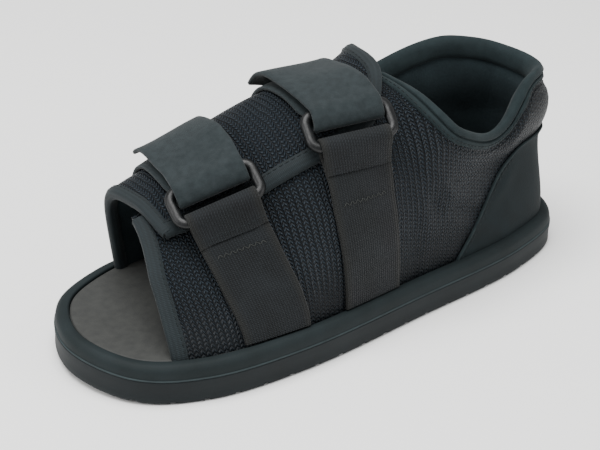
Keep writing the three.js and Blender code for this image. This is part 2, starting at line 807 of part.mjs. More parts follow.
// The part of a line where inside is positive, as a set count of evenly spaced points.
function portion(line, inside, count) {
  const kept = [];
  line.forEach((point, i) => {
    const here = inside(point);
    const past = i === 0 ? here : inside(line[i - 1]);
    if (here * past < 0) kept.push(line[i - 1].clone().lerp(point, past / (past - here)));
    if (here > 0) kept.push(point);
  });
  const curve = new THREE.CurvePath();
  for (let i = 1; i < kept.length; i += 1) curve.add(new THREE.LineCurve3(kept[i - 1], kept[i]));
  const points = [];
  for (let i = 0; i < count; i += 1) points.push(curve.getPointAt(i / (count - 1)));
  return points;
}

// Moves each point of a line outward from the face it lies on.
function raised(line, amount) {
  return line.map((point, i) => {
    const run = line[Math.min(i + 1, line.length - 1)].clone().sub(line[Math.max(i - 1, 0)]);
    const outward = new THREE.Vector3(0, -run.z, run.y).normalize();
    return point.clone().addScaledVector(outward, amount(point));
  });
}

// A strap stands further off toward its ring, where it crosses the flap's bound edge.
function edgeRoom(point, bar) {
  return (bindingThickness + clearance) * smooth((point.y - bar.y + 2 * foldRunOut) / foldRunOut);
}

// The webbing stands off the quarter toward its ring, where it passes onto the flap.
function flapRoomUnder(point, under) {
  return (bindingThickness + flapWall) * smooth((point.z - under.z + 1.5 * foldRunOut) / foldRunOut);
}

function makeStrap(row) {
  const place = ringPlace(row);
  return makeRibbon(acrossWidth((off) => {
    const bar = place.centre.clone().addScaledVector(place.along, off)
      .addScaledVector(place.across, -(ringGap + ringBar) / 2);
    const arch = (point) => foldArch * THREE.MathUtils.clamp(
      (point.y - bar.y + 1.9 * foldRunOut) / (1.5 * foldRunOut), 0, 1,
    ) ** 1.5;
    const before = bar.y - foldRunOut / 2;
    const shifted = acrossFlap(bar.x + row.farShift * shoeLength, 0);
    const face = acrossFlap(bar.x, 0).map((point, i) => (
      point.lerp(shifted[i], smooth((bar.y - point.y) / (ballWidth / 2)))
    ));
    const lower = portion(
      raised(face, (point) => strapThickness / 2 + strapGap + edgeRoom(point, bar)),
      (point) => Math.min(before - point.y, point.z - strapBase),
      20,
    );
    const upper = portion(
      raised(face, (point) => (
        1.5 * strapThickness + strapGap + clearance + edgeRoom(point, bar) + arch(point)
      )),
      (point) => Math.min(before - point.y, point.y - row.endSide * ballWidth),
      10,
    ).reverse();
    upper.forEach((point, i) => {
      point.z += strapEndLift * (off / strapWidth + 0.5) * smooth(i / (upper.length - 1));
    });
    return [...lower, ...foldPoints(bar, place), ...upper];
  }), strapThickness);
}

function makeWebbing(row) {
  const place = ringPlace(row);
  const radius = loopRadius(webbingThickness);
  return makeRibbon(acrossWidth((off) => {
    const bar = place.centre.clone().addScaledVector(place.along, off)
      .addScaledVector(place.across, (ringGap + ringBar) / 2);
    const under = bar.clone().addScaledVector(place.outward, -radius);
    const atBase = sectionPoints(xAt(row.base) + off, false, quarterForm(0, 0));
    const face = sectionPoints(bar.x, false, quarterForm(0, 0)).map((point, i) => (
      atBase[i].lerp(point, smooth((point.z - footbed) / (bar.z - footbed)))
    ));
    const lower = portion(
      raised(face, (point) => -strapGap - webbingThickness / 2 - flapRoomUnder(point, under)),
      (point) => Math.min(under.z - foldRunOut / 2 - point.z, point.z - strapBase),
      14,
    );
    const back = portion([...lower, under].reverse(), () => 1, 40);
    const reach = back.filter((point) => point.distanceTo(under) < webbingTail);
    const tail = [0.55, 0.8, 1].map((t) => {
      const point = reach[Math.round(t * (reach.length - 1))];
      const drop = THREE.MathUtils.lerp(2 * radius, webbingThickness + 2 * clearance, smooth(t));
      return point.clone().addScaledVector(place.outward, drop);
    });
    const way = place.across.clone().negate();
    const turn = turnPoints(bar, place.outward, way, radius, lower[lower.length - 1], tail[0]);
    return [...lower, ...turn, ...tail];
  }), webbingThickness);
}

// A solid as a named part of the scene.
function part(name, solid, look) {
  const mesh = solid.getMesh();
  const geometry = new THREE.BufferGeometry();
  geometry.setAttribute('position', new THREE.BufferAttribute(new Float32Array(mesh.vertProperties), 3));
  geometry.setIndex(new THREE.BufferAttribute(new Uint32Array(mesh.triVerts), 1));
  geometry.computeVertexNormals();
  const made = new THREE.Mesh(geometry, new THREE.MeshStandardMaterial(look));
  made.name = name;
  return made;
}

const rubber = { color: 0x1d2224, roughness: 0.8, metalness: 0 };
const foam = { color: 0x23292a, roughness: 0.85, metalness: 0 };
const sockLining = { color: 0x4a4846, roughness: 0.55, metalness: 0 };
const meshCloth = { color: 0x141819, roughness: 0.9, metalness: 0 };
const suedeCloth = { color: 0x1c2223, roughness: 0.95, metalness: 0 };
const tape = { color: 0x20282a, roughness: 0.8, metalness: 0 };
const hookLoop = { color: 0x24292c, roughness: 0.7, metalness: 0 };
const webbing = { color: 0x1a1f21, roughness: 0.85, metalness: 0 };
const ringPlastic = { color: 0x0c0d0e, roughness: 0.25, metalness: 0 };

const shoe = new THREE.Group();
shoe.add(
  part('outsole', makeOutsole(), rubber),
  part('midsole', makeMidsole(), foam),
  part('insole', makeInsole(), sockLining),
  part('upper', makeUpper(), meshCloth),
  part('heel_counter', makeCounter(), suedeCloth),
  part('collar_binding', makeCollarBinding(), tape),
  part('quarter_binding', makeQuarterBinding(), tape),
  part('flap_binding', makeFlapBinding(), tape),
);
strapRows.forEach((row) => {
  shoe.add(
    part(`strap_${row.name}`, makeStrap(row), hookLoop),
    part(`webbing_${row.name}`, makeWebbing(row), webbing),
    part(`ring_${row.name}`, makeRing(row), ringPlastic),
  );
});
export default shoe;
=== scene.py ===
"""Looks of the open-toe post-operative shoe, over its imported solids.

Lengths are in millimetres until a mesh is made. +X runs to the toe, +Y to the ring side, +Z up.
"""
import math
import bmesh
import bpy
import numpy as np
from mathutils import Matrix, Vector
from mathutils.bvhtree import BVHTree


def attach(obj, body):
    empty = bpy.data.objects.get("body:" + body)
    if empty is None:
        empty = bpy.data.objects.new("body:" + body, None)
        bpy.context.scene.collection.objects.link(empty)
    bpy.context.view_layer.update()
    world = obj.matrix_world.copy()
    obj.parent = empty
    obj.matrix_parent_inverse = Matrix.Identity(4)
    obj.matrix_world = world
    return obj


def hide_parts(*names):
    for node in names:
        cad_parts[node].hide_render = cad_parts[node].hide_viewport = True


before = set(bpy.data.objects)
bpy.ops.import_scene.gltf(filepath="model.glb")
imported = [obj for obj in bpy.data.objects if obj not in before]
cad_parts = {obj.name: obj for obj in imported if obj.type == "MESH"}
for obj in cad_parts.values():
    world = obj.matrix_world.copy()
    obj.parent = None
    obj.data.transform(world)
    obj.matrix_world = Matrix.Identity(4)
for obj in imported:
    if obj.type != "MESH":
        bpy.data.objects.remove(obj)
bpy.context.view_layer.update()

MM = 0.001
CLEARANCE = 0.3

# Sizes of the sole
SHOE_LENGTH = 290.0
BALL_WIDTH = 115.0
WAIST_WIDTH = 103.0
HEEL_WIDTH = 86.0
OUTSOLE_HEIGHT = 12.0
MIDSOLE_HEIGHT = 7.6
MIDSOLE_FLOOR = 4.2
MIDSOLE_BASE = OUTSOLE_HEIGHT + CLEARANCE
FOOTBED = OUTSOLE_HEIGHT + MIDSOLE_HEIGHT
LEDGE_WIDTH = 7.4
INSOLE_THICKNESS = 1.9
TOE_SPRING = 2.6
TOE_SPRING_LENGTH = 34.0
TREAD_PITCH = 14.5
TREAD_GROOVE = 3.2
TREAD_DEPTH = 1.5
TREAD_WALL = 0.35
PLAN_POINTS = 420
LIP_TOP = MIDSOLE_BASE + 0.7
OUTSOLE_PROFILE = ((2.2, 0.0), (0.5, 0.3), (0.0, 1.7), (0.3, 6.0), (0.0, OUTSOLE_HEIGHT - 0.2),
                   (0.3, OUTSOLE_HEIGHT + 0.1))
MIDSOLE_PROFILE = ((0.6, MIDSOLE_BASE - 0.25), (0.1, MIDSOLE_BASE), (0.1, MIDSOLE_BASE + 0.4), (0.6, LIP_TOP),
                   (0.6, MIDSOLE_BASE + 2.6), (1.2, MIDSOLE_BASE + 5.2), (3.2, FOOTBED - 0.3), (5.2, FOOTBED),
                   (LEDGE_WIDTH, FOOTBED - 0.2), (LEDGE_WIDTH, MIDSOLE_BASE + MIDSOLE_FLOOR))
INSOLE_BASE = MIDSOLE_BASE + MIDSOLE_FLOOR + CLEARANCE
INSOLE_TOP = INSOLE_BASE + INSOLE_THICKNESS
INSOLE_INSET = LEDGE_WIDTH + CLEARANCE
INSOLE_PROFILE = ((INSOLE_INSET, INSOLE_BASE), (INSOLE_INSET, INSOLE_BASE + 1.3),
                  (INSOLE_INSET + 0.9, INSOLE_TOP), (14.0, INSOLE_TOP))

# Sizes of the upper
INSTEP_HEIGHT = 93.0
UPPER_INSET = INSOLE_INSET
UPPER_BASE = INSOLE_BASE
WALL = 3.0
HEEL_LEAN = 5.5
HEEL_WAIST = 64.0
PAD_OUT = 5.0
PAD_IN = 3.6
PAD_HEIGHT = 36.0
PAD_FADE = 14.0
STATIONS = 26.0
COUNTER_THICKNESS = 1.1
PIPING_RADIUS = 0.75
ROLL_WIDTH = 6.4
ROLL_INNER_WIDTH = 7.5
ROLL_THICKNESS = 1.3
ROLL_SEAM = 2.5
TAPE_THICKNESS = 0.9
QUARTER_TAPE = 6.4
FLAP_FRONT_TAPE = 4.8
FLAP_NEAR_TAPE = 6.6
FLAP_REAR_TAPE = 5.6
THREAD_RADIUS = 0.2
THREAD_LIFT = 0.1
STITCH_PITCH = 3.2
STITCH_LENGTH = 2.3
COLLAR_SECOND_ROW = 8.6
COUNTER_ROW = 2.6

# Sizes of the fastening
STRAP_WIDTH = 35.0
STRAP_THICKNESS = 2.0
WEBBING_THICKNESS = 1.8
WEBBING_TAIL = 13.0
RING_BAR = 4.4
RING_FLAT = 5.2
RING_GAP = 12.4
RING_SIDE_ROOM = 0.8
RING_CORNER = 4.6
BINDING_ROOM = 1.0
RING_RISE = 5 * CLEARANCE + BINDING_ROOM + WEBBING_THICKNESS + RING_BAR / 2
LOOP_ROOM = 0.6
FOLD_RUN_OUT = 20.0
STRAP_END_LIFT = 7.0
FOLD_ARCH = 5.4
FOLD_REACH = 8.0
FOLD_DEPTH = 4.15
STRAP_BASE = FOOTBED + 0.8
STRAP_EDGE = 0.5
STRAP_COLUMNS = 15
MIDDLE_COLUMN = STRAP_COLUMNS // 2

# Tables: heights are shares of the instep height, side places of the ball width, and places along of
# the shoe's length from the heel.
OUTLINE = ((0.035, HEEL_WIDTH, 0.32), (0.16, HEEL_WIDTH, 0.5), (0.42, WAIST_WIDTH, 0.5),
           (0.68, BALL_WIDTH, 0.5), (0.85, BALL_WIDTH, 0.455), (0.955, BALL_WIDTH, 0.304))
SECTIONS = {
    "along": (0.286, 0.362, 0.405, 0.452, 0.576, 0.672, 0.783, 0.838, 0.886),
    "rise": (1.17, 0.95, 0.952, 0.95, 0.87, 0.76, 0.57, 0.49, 0.44),
    "shift": (0.0, -0.05, -0.06, -0.07, -0.13, -0.15, -0.13, -0.11, -0.08),
    "near": (6.2, 4.6, 2.75, 2.4, 2.1, 1.5, 1.3, 1.3, 1.3),
    "far": (6.2, 4.6, 3.4, 3.0, 3.0, 3.2, 4.2, 6.0, 6.0),
}
FLAP = {
    "along": (0.34, 0.412, 0.43, 0.448, 0.465, 0.53, 0.75, 0.84),
    "lift": (4.6, 2.9, 2.1, 1.42, 1.27, 1.2, 1.15, 1.4),
    "stand": (1.1, 1.1, 1.1, 1.1, 1.1, 1.11, 1.3, 2.6),
}
COLLAR = {
    "along": (0.03, 0.1, 0.14, 0.165, 0.195, 0.225, 0.26, 0.305, 0.345, 0.372, 0.38),
    "near": (0.85, 0.87, 0.83, 0.725, 0.655, 0.64, 0.67, 0.74, 0.825, 1.05, 1.3),
    "far": (0.85, 0.905, 0.94, 0.965, 0.955, 0.925, 0.87, 0.8, 0.8, 0.93, 1.3),
}
QUARTER_FRONT = {"up": (-0.1, 0.13, 0.3, 0.42, 0.9), "along": (0.886, 0.881, 0.872, 0.855, 0.8)}
FLAP_FRONT = {"up": (-0.1, 0.5, 0.9), "far": (0.812, 0.842, 0.85), "near": (0.8, 0.822, 0.83)}
FLAP_NEAR = {"along": (0.3, 0.45, 0.57, 0.66, 0.81, 0.95),
             "side": (0.15, 0.19, 0.205, 0.145, 0.055, 0.02)}
FLAP_REAR = {"side": (-0.6, -0.35, -0.2, -0.05, 0.05, 0.12, 0.3),
             "along": (0.34, 0.358, 0.388, 0.4, 0.411, 0.432, 0.5)}
COUNTER_SEAM = {"along": (0.0, 0.14, 0.2, 0.235, 0.315, 0.33), "up": (0.53, 0.5, 0.42, 0.3, 0.0, -0.1)}
QUARTER_TOP_SIDE = -0.13
FAR_JOIN = 0.372
HEEL_FADE = (0.19, 0.36)
NEAR_EDGE_SIDE = 0.34 * WAIST_WIDTH
FAR_EDGE_SIDE = -0.36 * WAIST_WIDTH
STRAPS = (
    {"name": "front", "middle": 0.735, "far_shift": -0.017, "ring_front": 0.015, "ring_rear": 0.1,
     "end_side": -0.38, "base": 0.713},
    {"name": "rear", "middle": 0.514, "far_shift": -0.01, "ring_front": 0.135, "ring_rear": 0.22,
     "end_side": -0.36, "base": 0.517},
)


def x_at(along):
    """Place on X of a share of the shoe's length from the heel."""
    return (np.asarray(along) - 0.5) * SHOE_LENGTH


def along_at(x):
    """Share of the shoe's length at a place on X."""
    return x / SHOE_LENGTH + 0.5


def up_at(share):
    """Height of a share of the instep's height above the footbed."""
    return FOOTBED + np.asarray(share) * INSTEP_HEIGHT


def unit(v):
    """A direction of length one."""
    return v / np.maximum(np.linalg.norm(v, axis=-1), 1e-9)[..., None]


def run_along(points):
    """Distance along a line at each of its points."""
    return np.concatenate([[0], np.cumsum(np.linalg.norm(np.diff(points, axis=0), axis=1))])


def spread_evenly(points, count):
    """The line again as evenly spaced points."""
    run = run_along(points)
    at = np.linspace(0, run[-1], count)
    return np.stack([np.interp(at, run, points[:, k]) for k in range(points.shape[1])], axis=1)


def resample(points, step):
    """The line again as points about one step apart."""
    return spread_evenly(points, max(3, int(round(run_along(points)[-1] / step))) + 1)


def soften(points, rounds):
    """The line with its kinks worn off and its ends held."""
    points = points.copy()
    for _ in range(rounds):
        points[1:-1] = 0.25 * points[:-2] + 0.5 * points[1:-1] + 0.25 * points[2:]
    return points


def smooth(t):
    """A soft step from 0 to 1."""
    t = np.clip(t, 0.0, 1.0)
    return t * t * (3 - 2 * t)


def curve_value(rows, key, column, at):
    """Smooth curve through one column of a table, held at its ends."""
    xs, ys = np.array(rows[key], float), np.array(rows[column], float)
    slopes = np.diff(ys) / np.diff(xs)
    tangents = np.zeros(len(xs))
    tangents[1:-1] = (slopes[:-1] + slopes[1:]) / 2
    at = np.clip(np.asarray(at, float), xs[0], xs[-1])
    i = np.clip(np.searchsorted(xs, at, side="right") - 1, 0, len(xs) - 2)
    span = xs[i + 1] - xs[i]
    t = (at - xs[i]) / span
    return ((2 * t ** 3 - 3 * t ** 2 + 1) * ys[i] + (t ** 3 - 2 * t ** 2 + t) * span * tangents[i]
            + (3 * t ** 2 - 2 * t ** 3) * ys[i + 1] + (t ** 3 - t ** 2) * span * tangents[i + 1])


def sole_plan():
    """Dense half of the sole's plan, from the middle of the heel round the near side to the toe."""
    near = [(x_at(along), width * share) for along, width, share in OUTLINE]
    corners = [(x_at(0), 0.0), *near, (x_at(1), 0.0), *[(x, -y) for x, y in reversed(near)]]
    corners = np.array(corners, float)
    points = []
    for t in np.linspace(0, 7, 1401):
        i = min(int(t), 6)
        w = t - i
        p0, p1, p2, p3 = (corners[k % len(corners)] for k in (i - 1, i, i + 1, i + 2))
        d0, d1, d2 = (math.sqrt(np.linalg.norm(b - a)) for a, b in ((p0, p1), (p1, p2), (p2, p3)))
        m1 = ((p1 - p0) / d0 - (p2 - p0) / (d0 + d1) + (p2 - p1) / d1) * d1
        m2 = ((p2 - p1) / d1 - (p3 - p1) / (d1 + d2) + (p3 - p2) / d2) * d1
        points.append(p1 + m1 * w + (-3 * p1 + 3 * p2 - 2 * m1 - m2) * w * w
                      + (2 * p1 - 2 * p2 + m1 + m2) * w ** 3)
    points = np.array(points)
    run = np.gradient(points, axis=0)
    return points, unit(np.stack([run[:, 1], -run[:, 0]], axis=1))


PLAN, PLAN_INWARD = sole_plan()
PLAN_KEY = np.linspace(0, STATIONS, len(PLAN))
PLAN_RUN = run_along(PLAN)


def plan_at(station, inset):
    """Point and inward direction of the plan at a station: 0 at the heel, 26 at the toe, minus on
    the far side."""
    station = (np.asarray(station, float) + STATIONS) % (2 * STATIONS) - STATIONS
    key = np.abs(station)
    side = np.where(station < 0, -1.0, 1.0)
    x, y = (np.interp(key, PLAN_KEY, PLAN[:, k]) for k in (0, 1))
    inx, iny = (np.interp(key, PLAN_KEY, PLAN_INWARD[:, k]) for k in (0, 1))
    return x + inx * inset, side * (y + iny * inset), inx, side * iny, side


def toe_lift(x):
    """How far the sole's underside lifts toward the toe."""
    t = np.maximum(0, (x - (SHOE_LENGTH / 2 - TOE_SPRING_LENGTH)) / TOE_SPRING_LENGTH)
    return TOE_SPRING * t * t


def quarter_layer(out, swell):
    """A face of the quarter: how far it stands off the last, and how far its heel pad swells."""
    return {"out": out, "lift": lambda along: 0 * along, "stand": lambda along: 0 * along, "swell": swell}


def flap_layer(out):
    """A face of the flap, which lies over the quarter and stands off it."""
    return {"out": out, "lift": lambda along: curve_value(FLAP, "along", "lift", along) * WALL,
            "stand": lambda along: curve_value(FLAP, "along", "stand", along) * WALL, "swell": 0.0}


def heel_inset(x, z, swell, side):
    """How far the heel's wall leans in, less the swell of its collar pad below the edge."""
    fade_from, fade_to = x_at(HEEL_FADE)
    weight = 1 - smooth((x - fade_from) / (fade_to - fade_from))
    lean = HEEL_LEAN * smooth((z - FOOTBED) / (HEEL_WAIST - FOOTBED))
    pad = np.maximum(0, np.sin(np.pi * np.clip((z - HEEL_WAIST) / PAD_HEIGHT, 0, 1)))
    along = along_at(x)
    top = up_at(np.where(side < 0, curve_value(COLLAR, "along", "far", along),
                         curve_value(COLLAR, "along", "near", along)))
    return weight * (lean - swell * pad * smooth((top - z) / PAD_FADE))


def spine_at(along, layer):
    """Side place and height of the upper's crest."""
    side = curve_value(SECTIONS, "along", "shift", along) * BALL_WIDTH
    rise = curve_value(SECTIONS, "along", "rise", along) * INSTEP_HEIGHT
    return side, FOOTBED + rise + layer["lift"](along) + layer["out"]


def rounded_corner(angle, square):
    """Shares out and up along a quarter turn; square says how boxy its shoulder is."""
    cos, sin = np.maximum(np.cos(angle), 1e-9), np.maximum(np.sin(angle), 1e-9)
    reach = (cos ** square + sin ** square) ** (-1 / square)
    return reach * cos, reach * sin


def dome(station, share, layer):
    """Point of the upper at a station and a share of the way from the footbed to the spine."""
    station, share = np.broadcast_arrays(np.asarray(station, float), np.asarray(share, float))
    x, y, inx, iny, side = plan_at(station, UPPER_INSET - layer["out"])
    along = np.clip(along_at(x), SECTIONS["along"][0], SECTIONS["along"][-1])
    spine_x = x_at(along)
    spine_y, spine_z = spine_at(along, layer)
    stand = np.where(side < 0, 0.0, layer["stand"](along))
    x, y = x - inx * stand, y - iny * stand
    square = np.where(side < 0, curve_value(SECTIONS, "along", "far", along),
                      curve_value(SECTIONS, "along", "near", along))
    out, up = rounded_corner(np.clip(share, 0, 1) * np.pi / 2, square)
    z = UPPER_BASE + up * (spine_z - UPPER_BASE)
    inset = heel_inset(x, z, layer["swell"], side) * np.minimum(1, out * 4)
    return np.stack([spine_x + (x + inx * inset - spine_x) * out,
                     spine_y + (y + iny * inset - spine_y) * out, z], axis=-1)


def dome_normal(station, share, layer):
    """Outward direction of the upper at a station and share."""
    step_s, step_a = 0.06, 0.004
    share = np.clip(share, step_a, 1 - step_a)
    along = dome(station + step_s, share, layer) - dome(station - step_s, share, layer)
    up = dome(station, share + step_a, layer) - dome(station, share - step_a, layer)
    return -unit(np.cross(along, up))


# Edges of the panels. Each gives how far inside its edge a point lies, in millimetres, and is negative
# outside it.
def side_share(y):
    """0 at the near side and 1 at the far side, where an edge has a height or place for each."""
    return (NEAR_EDGE_SIDE - y) / (NEAR_EDGE_SIDE - FAR_EDGE_SIDE)


def inside_collar(p):
    along = along_at(p[..., 0])
    near, far = (up_at(curve_value(COLLAR, "along", column, along)) for column in ("near", "far"))
    return near + (far - near) * side_share(p[..., 1]) - p[..., 2]


def inside_quarter_front(p):
    return x_at(np.interp((p[..., 2] - FOOTBED) / INSTEP_HEIGHT, QUARTER_FRONT["up"],
                          QUARTER_FRONT["along"])) - p[..., 0]


def inside_quarter_top(p):
    return np.maximum(x_at(FAR_JOIN) - p[..., 0], p[..., 1] - QUARTER_TOP_SIDE * BALL_WIDTH)


def inside_flap_front(p):
    up = (p[..., 2] - FOOTBED) / INSTEP_HEIGHT
    near, far = (x_at(np.interp(up, FLAP_FRONT["up"], FLAP_FRONT[column])) for column in ("near", "far"))
    return near + (far - near) * side_share(p[..., 1]) - p[..., 0]


def inside_flap_near(p):
    side = curve_value(FLAP_NEAR, "along", "side", along_at(p[..., 0]))
    return side * BALL_WIDTH - p[..., 1]


def inside_flap_rear(p):
    return p[..., 0] - x_at(curve_value(FLAP_REAR, "side", "along", p[..., 1] / BALL_WIDTH))


def inside_counter(p):
    top = up_at(np.interp(along_at(p[..., 0]), COUNTER_SEAM["along"], COUNTER_SEAM["up"]))
    return top - p[..., 2]


def crease(p, folds):
    """Depth of listed soft folds, each a trough with a lower ridge beside it. A fold has a middle, a
    direction, a length, a width and a depth, in millimetres."""
    depth = np.zeros(p.shape[:-1])
    for middle, direction, length, width, deep in folds:
        run = np.array(direction, float) / np.linalg.norm(direction)
        away = p - np.array(middle, float)
        lengthwise = away @ run
        across = np.linalg.norm(away - lengthwise[..., None] * run, axis=-1)
        ends = np.exp(-(lengthwise / length) ** 2)
        trough = np.exp(-(across / width) ** 2)
        ridge = 0.55 * np.exp(-((across - 1.9 * width) / width) ** 2)
        depth += deep * ends * (trough - ridge)
    return depth


QUARTER_FOLDS = (
    ((-38, 42, 56), (0.35, -0.35, 0.9), 15, 4.2, 1.2),
    ((-58, 42, 46), (0.9, 0.1, 0.35), 16, 3.6, 0.9),
    ((-84, 38, 52), (0.8, 0.25, -0.5), 16, 3.2, 0.8),
    ((34, 44, 40), (0.25, -0.45, 0.85), 20, 3.4, 0.7),
    ((-26, 44, 30), (0.1, -0.2, 0.95), 20, 4.2, 0.8),
    ((97, 38, 34), (-0.3, -0.6, 0.7), 14, 3.0, 0.6),
    ((-108, -31, 60), (0.7, 0.2, 0.6), 18, 4.0, 0.9),
    ((-70, -41, 62), (0.85, 0, -0.35), 20, 4.4, 1.0),
)
FLAP_FOLDS = (
    ((36, -8, 98), (0.4, 0.8, -0.35), 18, 4.0, 0.8),
    ((92, -12, 66), (0.35, 0.9, -0.2), 14, 3.0, 0.6),
    ((-30, -8, 112), (0.3, 0.85, -0.3), 16, 3.6, 0.9),
    ((44, -47, 60), (0.3, 0.1, 0.9), 24, 4.0, 0.9),
    ((-22, -44, 70), (-0.3, 0.1, 0.9), 24, 4.4, 1.0),
)


# Meshes of cloth and thread
def put_in_scene(name, data):
    """A new object of the scene, holding a mesh, camera or lamp."""
    thing = bpy.data.objects.new(name, data)
    bpy.context.scene.collection.objects.link(thing)
    return thing


def make(name, verts, faces, materials, replaced=(), uvs=None, face_slots=None, sharp=50.0):
    """A named piece from vertices in millimetres; it rides on the shoe's one body."""
    mesh = bpy.data.meshes.new(name)
    corners = [tuple(int(i) for i in face) for face in faces]
    mesh.from_pydata((np.asarray(verts, float) * MM).tolist(), [], corners)
    if uvs is not None:
        layer = mesh.uv_layers.new(name="cloth")
        index = np.zeros(len(mesh.loops), int)
        mesh.loops.foreach_get("vertex_index", index)
        layer.data.foreach_set("uv", (np.asarray(uvs, float)[index] * MM).ravel())
    mesh.polygons.foreach_set("use_smooth", [True] * len(mesh.polygons))
    for material in materials:
        mesh.materials.append(material)
    if face_slots is not None:
        mesh.polygons.foreach_set("material_index", np.asarray(face_slots, int))
    whole = bmesh.new()
    whole.from_mesh(mesh)
    bmesh.ops.recalc_face_normals(whole, faces=whole.faces)
    whole.to_mesh(mesh)
    whole.free()
    mesh.validate()
    mesh.set_sharp_from_angle(angle=math.radians(sharp))
    piece = put_in_scene(name, mesh)
    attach(piece, "root")
    if replaced:
        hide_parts(*replaced)
    return piece


def trimmed_grid(surface, us, vs, edges):
    """A grid over a surface, cut along the edges where any of the edge distances turns negative.
    Grid points next to an edge are moved onto it."""
    u, v = np.meshgrid(us, vs, indexing="ij")

    def depth(p):
        return np.min([edge(p) for edge in edges], axis=0)

    value = depth(surface(u, v))
    best = np.full(u.shape, 2.0)
    new_u, new_v = u.copy(), v.copy()
    for axis in (0, 1):
        low = [slice(None), slice(None)]
        high = [slice(None), slice(None)]
        low[axis], high[axis] = slice(0, -1), slice(1, None)
        low, high = tuple(low), tuple(high)
        a, b = value[low], value[high]
        crosses = (a > 0) != (b > 0)
        start, end_at, near_a, near_b = np.zeros(a.shape), np.ones(a.shape), a, b
        for _ in range(5):
            guess = near_a / np.where(near_a == near_b, 1, near_a - near_b)
            t = start + (end_at - start) * np.clip(guess, 0.1, 0.9)
            there = depth(surface(u[low] + (u[high] - u[low]) * t, v[low] + (v[high] - v[low]) * t))
            same = (there > 0) == (a > 0)
            start, near_a = np.where(same, t, start), np.where(same, there, near_a)
            end_at, near_b = np.where(same, end_at, t), np.where(same, near_b, there)
        t = np.where(crosses, t, 0)
        cross_u, cross_v = u[low] + (u[high] - u[low]) * t, v[low] + (v[high] - v[low]) * t
        for end, share in ((low, t), (high, 1 - t)):
            closer = crosses & (share <= 0.5) & (share < best[end])
            best[end] = np.where(closer, share, best[end])
            new_u[end] = np.where(closer, cross_u, new_u[end])
            new_v[end] = np.where(closer, cross_v, new_v[end])
    on_edge = best < 1.5
    keep = (value > 0) | on_edge
    nu, nv = u.shape
    index = np.arange(nu * nv).reshape(nu, nv)
    middle = depth(surface((new_u[:-1, :-1] + new_u[1:, 1:]) / 2, (new_v[:-1, :-1] + new_v[1:, 1:]) / 2))
    faces = []
    for i in range(nu - 1):
        for j in range(nv - 1):
            corners = [(i, j), (i + 1, j), (i + 1, j + 1), (i, j + 1)]
            kept = [index[c] for c in corners if keep[c]]
            if len(kept) < 3 or all(on_edge[c] for c in corners if keep[c]) and middle[i, j] < 0:
                continue
            faces.append(kept)
    return new_u, new_v, faces


def boundary_edges(faces):
    """Directed edges that only one face has."""
    seen = dict.fromkeys(pair for face in faces for pair in zip(face, [*face[1:], face[0]]))
    return [(a, b) for a, b in seen if (b, a) not in seen]


def chains(edges):
    """Open or closed runs of vertices through directed edges."""
    following = dict(edges)
    reached = set(following.values())
    starts = [a for a in following if a not in reached]
    runs, left = [], dict(following)
    for start in starts + list(following):
        if start not in left:
            continue
        run = [start]
        while run[-1] in left:
            run.append(left.pop(run[-1]))
        runs.append(run)
    return runs


def compact(faces, *arrays):
    """Faces and arrays again, without the points that no face uses."""
    used = sorted({i for face in faces for i in face})
    renumber = {old: new for new, old in enumerate(used)}
    return [[renumber[i] for i in face] for face in faces], [a[used] for a in arrays]


def panel(name, surfaces, us, vs, edges, cloth_uv, folds, materials, replaced):
    """A cloth panel of real thickness: outer face, inner face and rim. Returns its outer and inner
    points, outward directions, rim edges, and search trees of both faces."""
    outer, inner, normal = surfaces
    u, v, faces = trimmed_grid(outer, us, vs, edges)
    faces, (u, v) = compact(faces, u.ravel(), v.ravel())
    out, n = outer(u, v), normal(u, v)
    fold = crease(out, folds)[:, None] * n
    out, inn = out - fold, inner(u, v) - fold
    uv = cloth_uv(u, v, out)
    count = len(out)
    first = faces[0]
    turn = np.cross(out[first[1]] - out[first[0]], out[first[2]] - out[first[0]]) @ n[first[0]]
    if turn < 0:
        faces = [face[::-1] for face in faces]
    rim = boundary_edges(faces)
    all_faces = faces + [[i + count for i in face[::-1]] for face in faces]
    all_faces += [[b, a, a + count, b + count] for a, b in rim]
    slots = [0] * len(faces) + [1] * len(faces) + [0] * len(rim)
    make(name, np.concatenate([out, inn]), all_faces, materials, replaced,
         uvs=np.concatenate([uv, uv]), face_slots=slots)
    trees = [BVHTree.FromPolygons([Vector(point) for point in side], faces) for side in (out, inn)]
    return {"out": out, "inn": inn, "normal": n, "rim": rim, "trees": trees}


def loft(sections):
    """Faces between closed sections of equal count, and one over each end."""
    rows, count = sections.shape[:2]
    index = np.arange(rows * count).reshape(rows, count)
    faces = []
    for i in range(rows - 1):
        for j in range(count):
            k = (j + 1) % count
            faces.append([index[i, j], index[i, k], index[i + 1, k], index[i + 1, j]])
    return [*faces, list(index[0][::-1]), list(index[-1])]


def cloth_places(length, across):
    """Places on the flat cloth of a grid's points, in millimetres."""
    return np.stack(np.meshgrid(length, across, indexing="ij"), axis=-1).reshape(-1, 2)


def distance_to(edge, points):
    """Distance to an edge in millimetres, from its value and slope."""
    slope = [(edge(points + step) - edge(points - step)) / 0.4 for step in 0.2 * np.eye(3)]
    return np.abs(edge(points)) / np.maximum(np.linalg.norm(slope, axis=0), 0.2)


